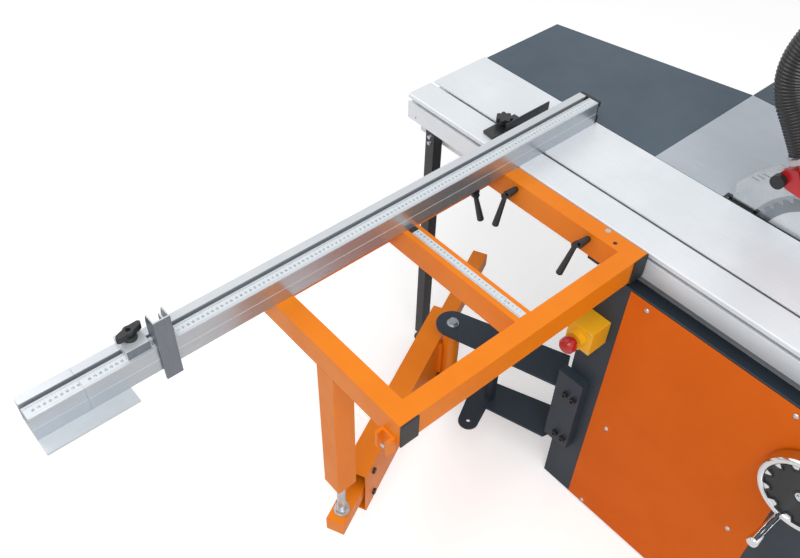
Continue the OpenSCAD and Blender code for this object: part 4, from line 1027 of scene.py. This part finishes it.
def marks(
    name: str, body: str, finish: Finish,
    boxes: Sequence[tuple[tuple[float, float, float], tuple[float, float, float]]],
) -> None:
    """Builds a set of thin plates as one piece.

    Args:
        name: Its name.
        body: Body it rides on.
        finish: Its finish.
        boxes: Lowest and highest corners in millimetres.
    """
    bm = bmesh.new()
    for low, high in boxes:
        made = bmesh.ops.create_cube(bm, size=1.0)
        middle = (Vector(low) + Vector(high)) / 2
        span = Vector(high) - Vector(low)
        for vert in made["verts"]:
            vert.co = (
                Vector((vert.co.x * span.x, vert.co.y * span.y, vert.co.z * span.z)) + middle
            ) * MM
    new_piece(name, bm, body, (finish,))


def in_groove(across: float, middle: float, height: float, top: float) -> bool:
    """Tells whether a face is inside the T groove in an extrusion's top.

    Args:
        across: Place of the face's middle across the groove.
        middle: Place of the groove's middle.
        height: Height of the face's middle.
        top: Height of the extrusion's top. All four are in millimetres.

    Returns:
        True inside the groove.
    """
    high, low = (top - depth for depth in GROOVE_DEPTHS)
    return abs(across - middle) < GROOVE_HALF and low < height < high


def fence_side(point: Vector) -> int:
    """Tells the finish of a face of the crosscut fence or its extension.

    Args:
        point: The middle of the face in millimetres.

    Returns:
        1 on the front face, which gets painted shade, 2 in the groove of the top, which gets
        painted shade too, and 0 elsewhere.
    """
    if point.y < FENCE_FRONT + 0.6:
        return 1
    return 2 if in_groove(point.y, FENCE_GROOVE, point.z, FENCE_TOP) else 0


def slider_side(point: Vector) -> int:
    """Tells the finish of a face of the sliding table.

    Args:
        point: The middle of the face in millimetres.

    Returns:
        1 in the groove of the top, which gets painted light, and 0 elsewhere.
    """
    return int(in_groove(point.x, SLIDER_GROOVE, point.z, TABLE))


def fitting_side(point: Vector) -> int:
    """Tells the finish of a face of the small fittings on the outrigger frame.

    Args:
        point: The middle of the face in millimetres.

    Returns:
        0 on the lug by the leg, 1 on the clips, and 2 on the plates beside the sliding table.
    """
    if point.x > -280:
        return 2
    return int(point.x > -400)


def past(**limits: float) -> Callable[[Vector], int]:
    """Makes a rule that gives finish 1 to the faces past all its limits, and 0 to the others.

    Args:
        limits: Places in millimetres, each under a name such as over_x or under_z.

    Returns:
        The rule, for a node's choose.
    """

    def rule(point: Vector) -> int:
        """Tells the finish of a face.

        Args:
            point: The middle of the face in millimetres.

        Returns:
            1 past every limit, and 0 elsewhere.
        """
        for name, limit in limits.items():
            side, axis = name.split("_")
            beyond = getattr(point, axis) - limit
            if (beyond if side == "over" else -beyond) <= 0:
                return 0
        return 1

    return rule


def blade_lacquer() -> None:
    """Lays the pale lacquered middle of the saw blade over both its faces."""
    radius, thick = 128.0 * MM, 2.44 * MM
    bm = bmesh.new()
    place = Matrix.Translation((0, 0, ARBOR_Z * MM)) @ Matrix.Rotation(math.pi / 2, 4, "Y")
    bmesh.ops.create_cone(
        bm, cap_ends=True, segments=128, radius1=radius, radius2=radius, depth=thick, matrix=place
    )
    new_piece("blade_lacquer", bm, "arbor_shaft", (BLADE_LACQUER,))


def details() -> None:
    """Adds the small pieces that the solids leave out."""
    blade_lacquer()
    up, left = Vector((0, 0, 1)), Vector((-1, 0, 0))
    cross_screw(
        "ruler_screw", "slider", Vector((-598.0, 305.0, TABLE + 0.1)), up, 5.0, ZINC
    )
    for index, (y, z) in enumerate(((236, 605), (292, 605), (236, 661), (292, 661))):
        cross_screw(f"estop_screw_{index}", "base", Vector((-377.9, y, z)), left, 2.6, ZINC)
    cross_screw(
        "frame_screw", "slider", Vector((-307.0, 280.0, TABLE + 0.05)), up, 4.5, BLACK_PLASTIC,
    )
    cap = [((-607.5, 567.0, TABLE + 0.1), (-588.5, 579.0, TABLE + 1.3))]
    marks("ruler_end", "slider", BLACK_PLASTIC, cap)
    # Pale strips along the fences' front faces stand for the groove there: a real groove, drawn as
    # a painted highlight
    line = FENCE_TOP - 29.0
    lines = (
        ("fence_groove_highlight", "fence", -1318.0, -21.0), ("extension_groove_highlight", "extension", -1419.0, FENCE_END)
    )
    for name, body, start, end in lines:
        groove = ((start, FENCE_FRONT - 0.05, line - 0.8), (end, FENCE_FRONT + 0.3, line + 0.8))
        marks(name, body, RULER, [groove])
    steps = [10 * i for i in range(3)]
    ticks = [((-1.42, 170 - s, TABLE + 74 + s), (-1.30, 188 - s, TABLE + 75 + s)) for s in steps]
    marks("knife_marks", "rising", INK, ticks)


@dataclass
class Studio:
    """Camera, lamps, world and floor.

    Args:
        focal: Focal length of the photo's camera in pixels.
        width: Width of the photo in pixels.
        height: Height of the photo in pixels.
        centre: Middle of the lens in the photo, in pixels.
        position_mm: Where the camera stands.
        rows: Its directions to the right, down and ahead.
        sensor_mm: Width of its sensor.
    """

    focal: float = 860.609
    width: int = 800
    height: int = 558
    centre: tuple[float, float] = (380.40, 293.99)
    position_mm: tuple[float, float, float] = (-1506.98, -391.82, 2061.68)
    rows: tuple[tuple[float, float, float], ...] = (
        (0.76663362, -0.64204229, 0.00738854),
        (-0.46201637, -0.5595907, -0.68804006),
        (0.44588538, 0.52406101, -0.7256351),
    )
    sensor_mm: float = 36.0

    def camera(self) -> None:
        """Sets the camera at the photograph's viewpoint."""
        data = bpy.data.cameras.new("photo_camera")
        data.sensor_fit = "HORIZONTAL"
        data.sensor_width = self.sensor_mm
        data.lens = self.focal / self.width * self.sensor_mm
        data.shift_x = (self.width / 2 - self.centre[0]) / self.width
        data.shift_y = (self.centre[1] - self.height / 2) / self.width
        data.clip_start = 0.05
        data.clip_end = 50
        cam = put("photo_camera", data)
        right, down, ahead = (Vector(r) for r in self.rows)
        turn = Matrix((right, -down, -ahead)).transposed().to_4x4()
        cam.matrix_world = Matrix.Translation(Vector(self.position_mm) * MM) @ turn
        bpy.context.scene.camera = cam

    def lamp(
        self, name: str, place: tuple[float, float, float], target: tuple[float, float, float],
        size: float, power: float,
    ) -> None:
        """Adds one soft area lamp.

        Args:
            name: Its name.
            place: Where it is, in metres.
            target: What it points at, in metres.
            size: Side of its square, in metres.
            power: Its power in watts.
        """
        data = bpy.data.lights.new(name, "AREA")
        data.shape = "SQUARE"
        data.size = size
        data.energy = power
        lamp = put(name, data)
        lamp.location = place
        lamp.rotation_euler = (Vector(target) - Vector(place)).to_track_quat("-Z", "Y").to_euler()

    def world(self) -> None:
        """Lights the object evenly and shows white behind it."""
        world = bpy.data.worlds.new("studio")
        tree = empty_tree(world)
        path = add_node(tree, "ShaderNodeLightPath")
        soft = add_node(tree, "ShaderNodeBackground", {"Color": (1, 1, 1, 1), "Strength": 0.55})
        white = add_node(tree, "ShaderNodeBackground", {"Color": (1, 1, 1, 1), "Strength": 1.0})
        seen = add_node(
            tree, "ShaderNodeMath", {"operation": "MAXIMUM"},
            {0: path.outputs["Is Camera Ray"], 1: path.outputs["Is Glossy Ray"]},
        )
        mix = add_node(
            tree, "ShaderNodeMixShader", None,
            {0: seen.outputs[0], 1: soft.outputs[0], 2: white.outputs[0]},
        )
        add_node(tree, "ShaderNodeOutputWorld", None, {"Surface": mix.outputs[0]})
        bpy.context.scene.world = world

    def floor(self) -> None:
        """Lays the pale floor under the machine."""
        bm = bmesh.new()
        below = Matrix.Translation((0, 0, -1.5 * MM))
        bmesh.ops.create_grid(bm, x_segments=1, y_segments=1, size=60.0, matrix=below)
        mat = bpy.data.materials.new("studio_floor")
        tree = empty_tree(mat)
        matt = add_node(tree, "ShaderNodeBsdfDiffuse", {"Color": linear("#F4F4F4")})
        glow = add_node(tree, "ShaderNodeEmission", {"Color": (1, 1, 1, 1), "Strength": 0.32})
        path = add_node(tree, "ShaderNodeLightPath")
        both = add_node(tree, "ShaderNodeAddShader", None, {0: matt.outputs[0], 1: glow.outputs[0]})
        mix = add_node(
            tree, "ShaderNodeMixShader", None,
            {0: path.outputs["Is Camera Ray"], 1: matt.outputs[0], 2: both.outputs[0]},
        )
        add_node(tree, "ShaderNodeOutputMaterial", None, {"Surface": mix.outputs[0]})
        floor = put("floor", mesh_of("floor", bm, [mat]))

    def build(self) -> None:
        """Builds the whole studio."""
        self.world()
        self.floor()
        self.lamp("key", (-1.9, -1.1, 4.1), (-0.2, 0.1, 0.6), 2.4, 84)
        self.lamp("fill", (1.2, -3.4, 2.4), (-0.2, 0.1, 0.5), 2.4, 16)
        self.lamp("back", (-1.8, 3.0, 3.0), (-0.3, 0.3, 0.6), 2.0, 26)
        bpy.context.scene.view_settings.view_transform = "Standard"


# Every CAD node that keeps its shape: name, body, slot, finishes, edge radius, choice of finish
DRESSED = (
    ("cabinet", "base", "anthracite_paint", (GREY_COAT,), 1.2),
    ("side_panel", "base", "panel_paint", (PANEL_COAT,), 0.7),
    ("cabinet_bolts", "base", "zinc", (ZINC, BLACK_PAINT), 0.3, past(under_x=-330)),
    ("main_table", "base", "table_iron", (IRON_TABLE,), 1.0),
    ("rear_table", "base", "slate_paint", (SLATE_COAT,), 1.2),
    ("right_table", "base", "slate_paint", (SLATE_COAT,), 1.2),
    ("slot_strip", "base", "black_plastic", (BLACK_PLASTIC, IRON_TABLE), 0.2, past(over_x=3.6)),
    ("slide_rail", "base", "alloy", (ALLOY_Y,), 0.3),
    (
        "rail_leg", "base", "black_plastic", (BLACK_PAINT, ZINC), 0.8,
        past(under_x=-274.5, over_z=700),
    ),
    ("arm_bracket", "base", "anthracite_paint", (GREY_COAT,), 0.8),
    ("pivot_bolt", "base", "zinc", (ZINC,), 0.5),
    ("estop_box", "base", "yellow_plastic", (YELLOW_PLASTIC,), 2.0),
    ("control_box", "base", "anthracite_paint", (GREY_COAT,), 1.5),
    ("dust_port", "base", "anthracite_paint", (GREY_COAT,), 0.8),
    ("rip_rail", "base", "zinc", (ZINC,), 0.6),
    ("trunnions", "base", "plain_iron", (IRON_RAW,), 0.8),
    # The sliding table's groove gets painted light
    ("slider_table", "slider", "alloy", (ALLOY_Y, ALLOY_SLOT_PAINTED_LIGHT), 0.8, slider_side),
    ("outrigger_frame", "slider", "orange_paint", (ORANGE_COAT,), 2.0),
    ("outrigger_caps", "slider", "black_plastic", (BLACK_PLASTIC,), 1.5),
    ("frame_bolts", "slider", "zinc", (ZINC,), 0.2),
    ("outrigger_leg", "slider", "orange_paint", (ORANGE_COAT,), 2.5),
    (
        "frame_fittings", "slider", "orange_paint", (ORANGE_COAT, BLACK_PLASTIC, ALLOY_Y), 0.8,
        fitting_side,
    ),
    ("lever_rear", "rear_lever", "black_plastic", (BLACK_PLASTIC,), 0.0),
    ("lever_front", "front_lever", "black_plastic", (BLACK_PLASTIC,), 0.0),
    ("lever_fence", "fence_lever", "black_plastic", (BLACK_PLASTIC,), 0.0),
    # The front faces and grooves of both fence pieces get painted shade
    ("fence_profile", "fence", "alloy", (ALLOY_X, ALLOY_FRONT_PAINTED_SHADE, ALLOY_GROOVE), 0.5, fence_side),
    ("fence_end_block", "fence", "black_plastic", (BLACK_PLASTIC,), 0.8),
    (
        "fence_extension", "extension", "alloy", (ALLOY_X, ALLOY_FRONT_PAINTED_SHADE, ALLOY_GROOVE), 0.5,
        fence_side,
    ),
    ("support_plate", "extension", "alloy", (ALLOY_X,), 0.5),
    (
        "stop_block", "stop", "alloy", (ALLOY_X, ALLOY_Z), 1.0,
        past(under_y=FENCE_FRONT + 12, under_z=FENCE_TOP + 17),
    ),
    # The flip stop's top end gets the paler alloy as a painted highlight
    ("stop_arm", "flip_stop", "alloy", (ALLOY_Z, ALLOY_X), 0.5, past(over_z=FENCE_TOP + 67.5)),
    ("stop_knob", "stop_screw", "black_plastic", (BLACK_PLASTIC,), 1.0),
    ("edging_shoe", "shoe", "black_plastic", (BLACK_PAINT,), 0.8),
    ("shoe_knob", "shoe_screw", "black_plastic", (BLACK_PLASTIC,), 0.8),
    ("arm_housing", "arm", "orange_paint", (ORANGE_COAT,), 1.2),
    ("arm_tube", "arm_slide", "orange_paint", (ORANGE_COAT,), 1.5),
    ("roller_top", "upper_roller", "black_plastic", (BLACK_PLASTIC,), 0.6),
    ("roller_low", "lower_roller", "black_plastic", (BLACK_PLASTIC,), 0.6),
    ("leg_spindle", "arm_slide", "zinc", (ZINC,), 0.5),
    ("tilt_carriage", "tilting", "plain_iron", (IRON_RAW,), 0.6),
    ("rise_carriage", "rising", "plain_iron", (IRON_RAW,), 0.6),
    ("arbor", "arbor_shaft", "zinc", (ZINC,), 0.2),
    ("saw_blade", "arbor_shaft", "blade_steel", (BLADE_BODY,), 0.0),
    ("motor", "rising", "anthracite_paint", (GREY_COAT,), 0.5),
    ("motor_pulley", "motor_shaft", "zinc", (ZINC,), 0.2),
    ("drive_belt", "rising", "black_rubber", (RUBBER,), 0.3),
    ("riving_knife", "rising", "blade_steel", (BLADE_STEEL,), 0.3),
    ("blade_guard", "rising", "red_plastic", (RED_PLASTIC,), 1.2),
    ("guard_knob", "guard_screw", "black_plastic", (BLACK_PLASTIC, ZINC), 1.0, past(over_x=-20)),
    ("hose_clamp", "rising", "zinc", (ZINC,), 0.4),
    ("tilt_grip", "tilt_handle", "chrome", (CHROME,), 0.0),
    ("rise_grip", "rise_handle", "chrome", (CHROME,), 0.0),
    ("rise_screw", "lift_screw", "zinc", (ZINC,), 0.0),
    ("estop_button", "stop_switch", "red_plastic", (RED_PLASTIC,), 0.5),
    ("switch_button", "main_switch", "red_plastic", (RED_PLASTIC,), 0.5),
    ("rip_fence", "rip", "alloy", (ALLOY_Y, GREY_COAT), 0.8, past(under_y=-378)),
    ("rip_lever", "rip_clamp", "black_plastic", (BLACK_PLASTIC,), 0.0),
)


def main() -> None:
    """Builds the scene in order."""
    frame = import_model()
    studio = Studio()
    studio.camera()
    SuctionHose().build()
    for row in DRESSED:
        SoftenedNode(*row).build(frame)
    HandWheel("tilt", "tilt_wheel", "tilt_handwheel", TILT_WHEEL, Vector((-1, 0, 0))).build(frame)
    HandWheel("rise", "rise_wheel", "rise_handwheel", RISE_WHEEL, Vector((0, -1, 0))).build(frame)
    for strip in SCALES:
        strip.build()
    details()
    studio.build()


if __name__ == "__main__":
    main()
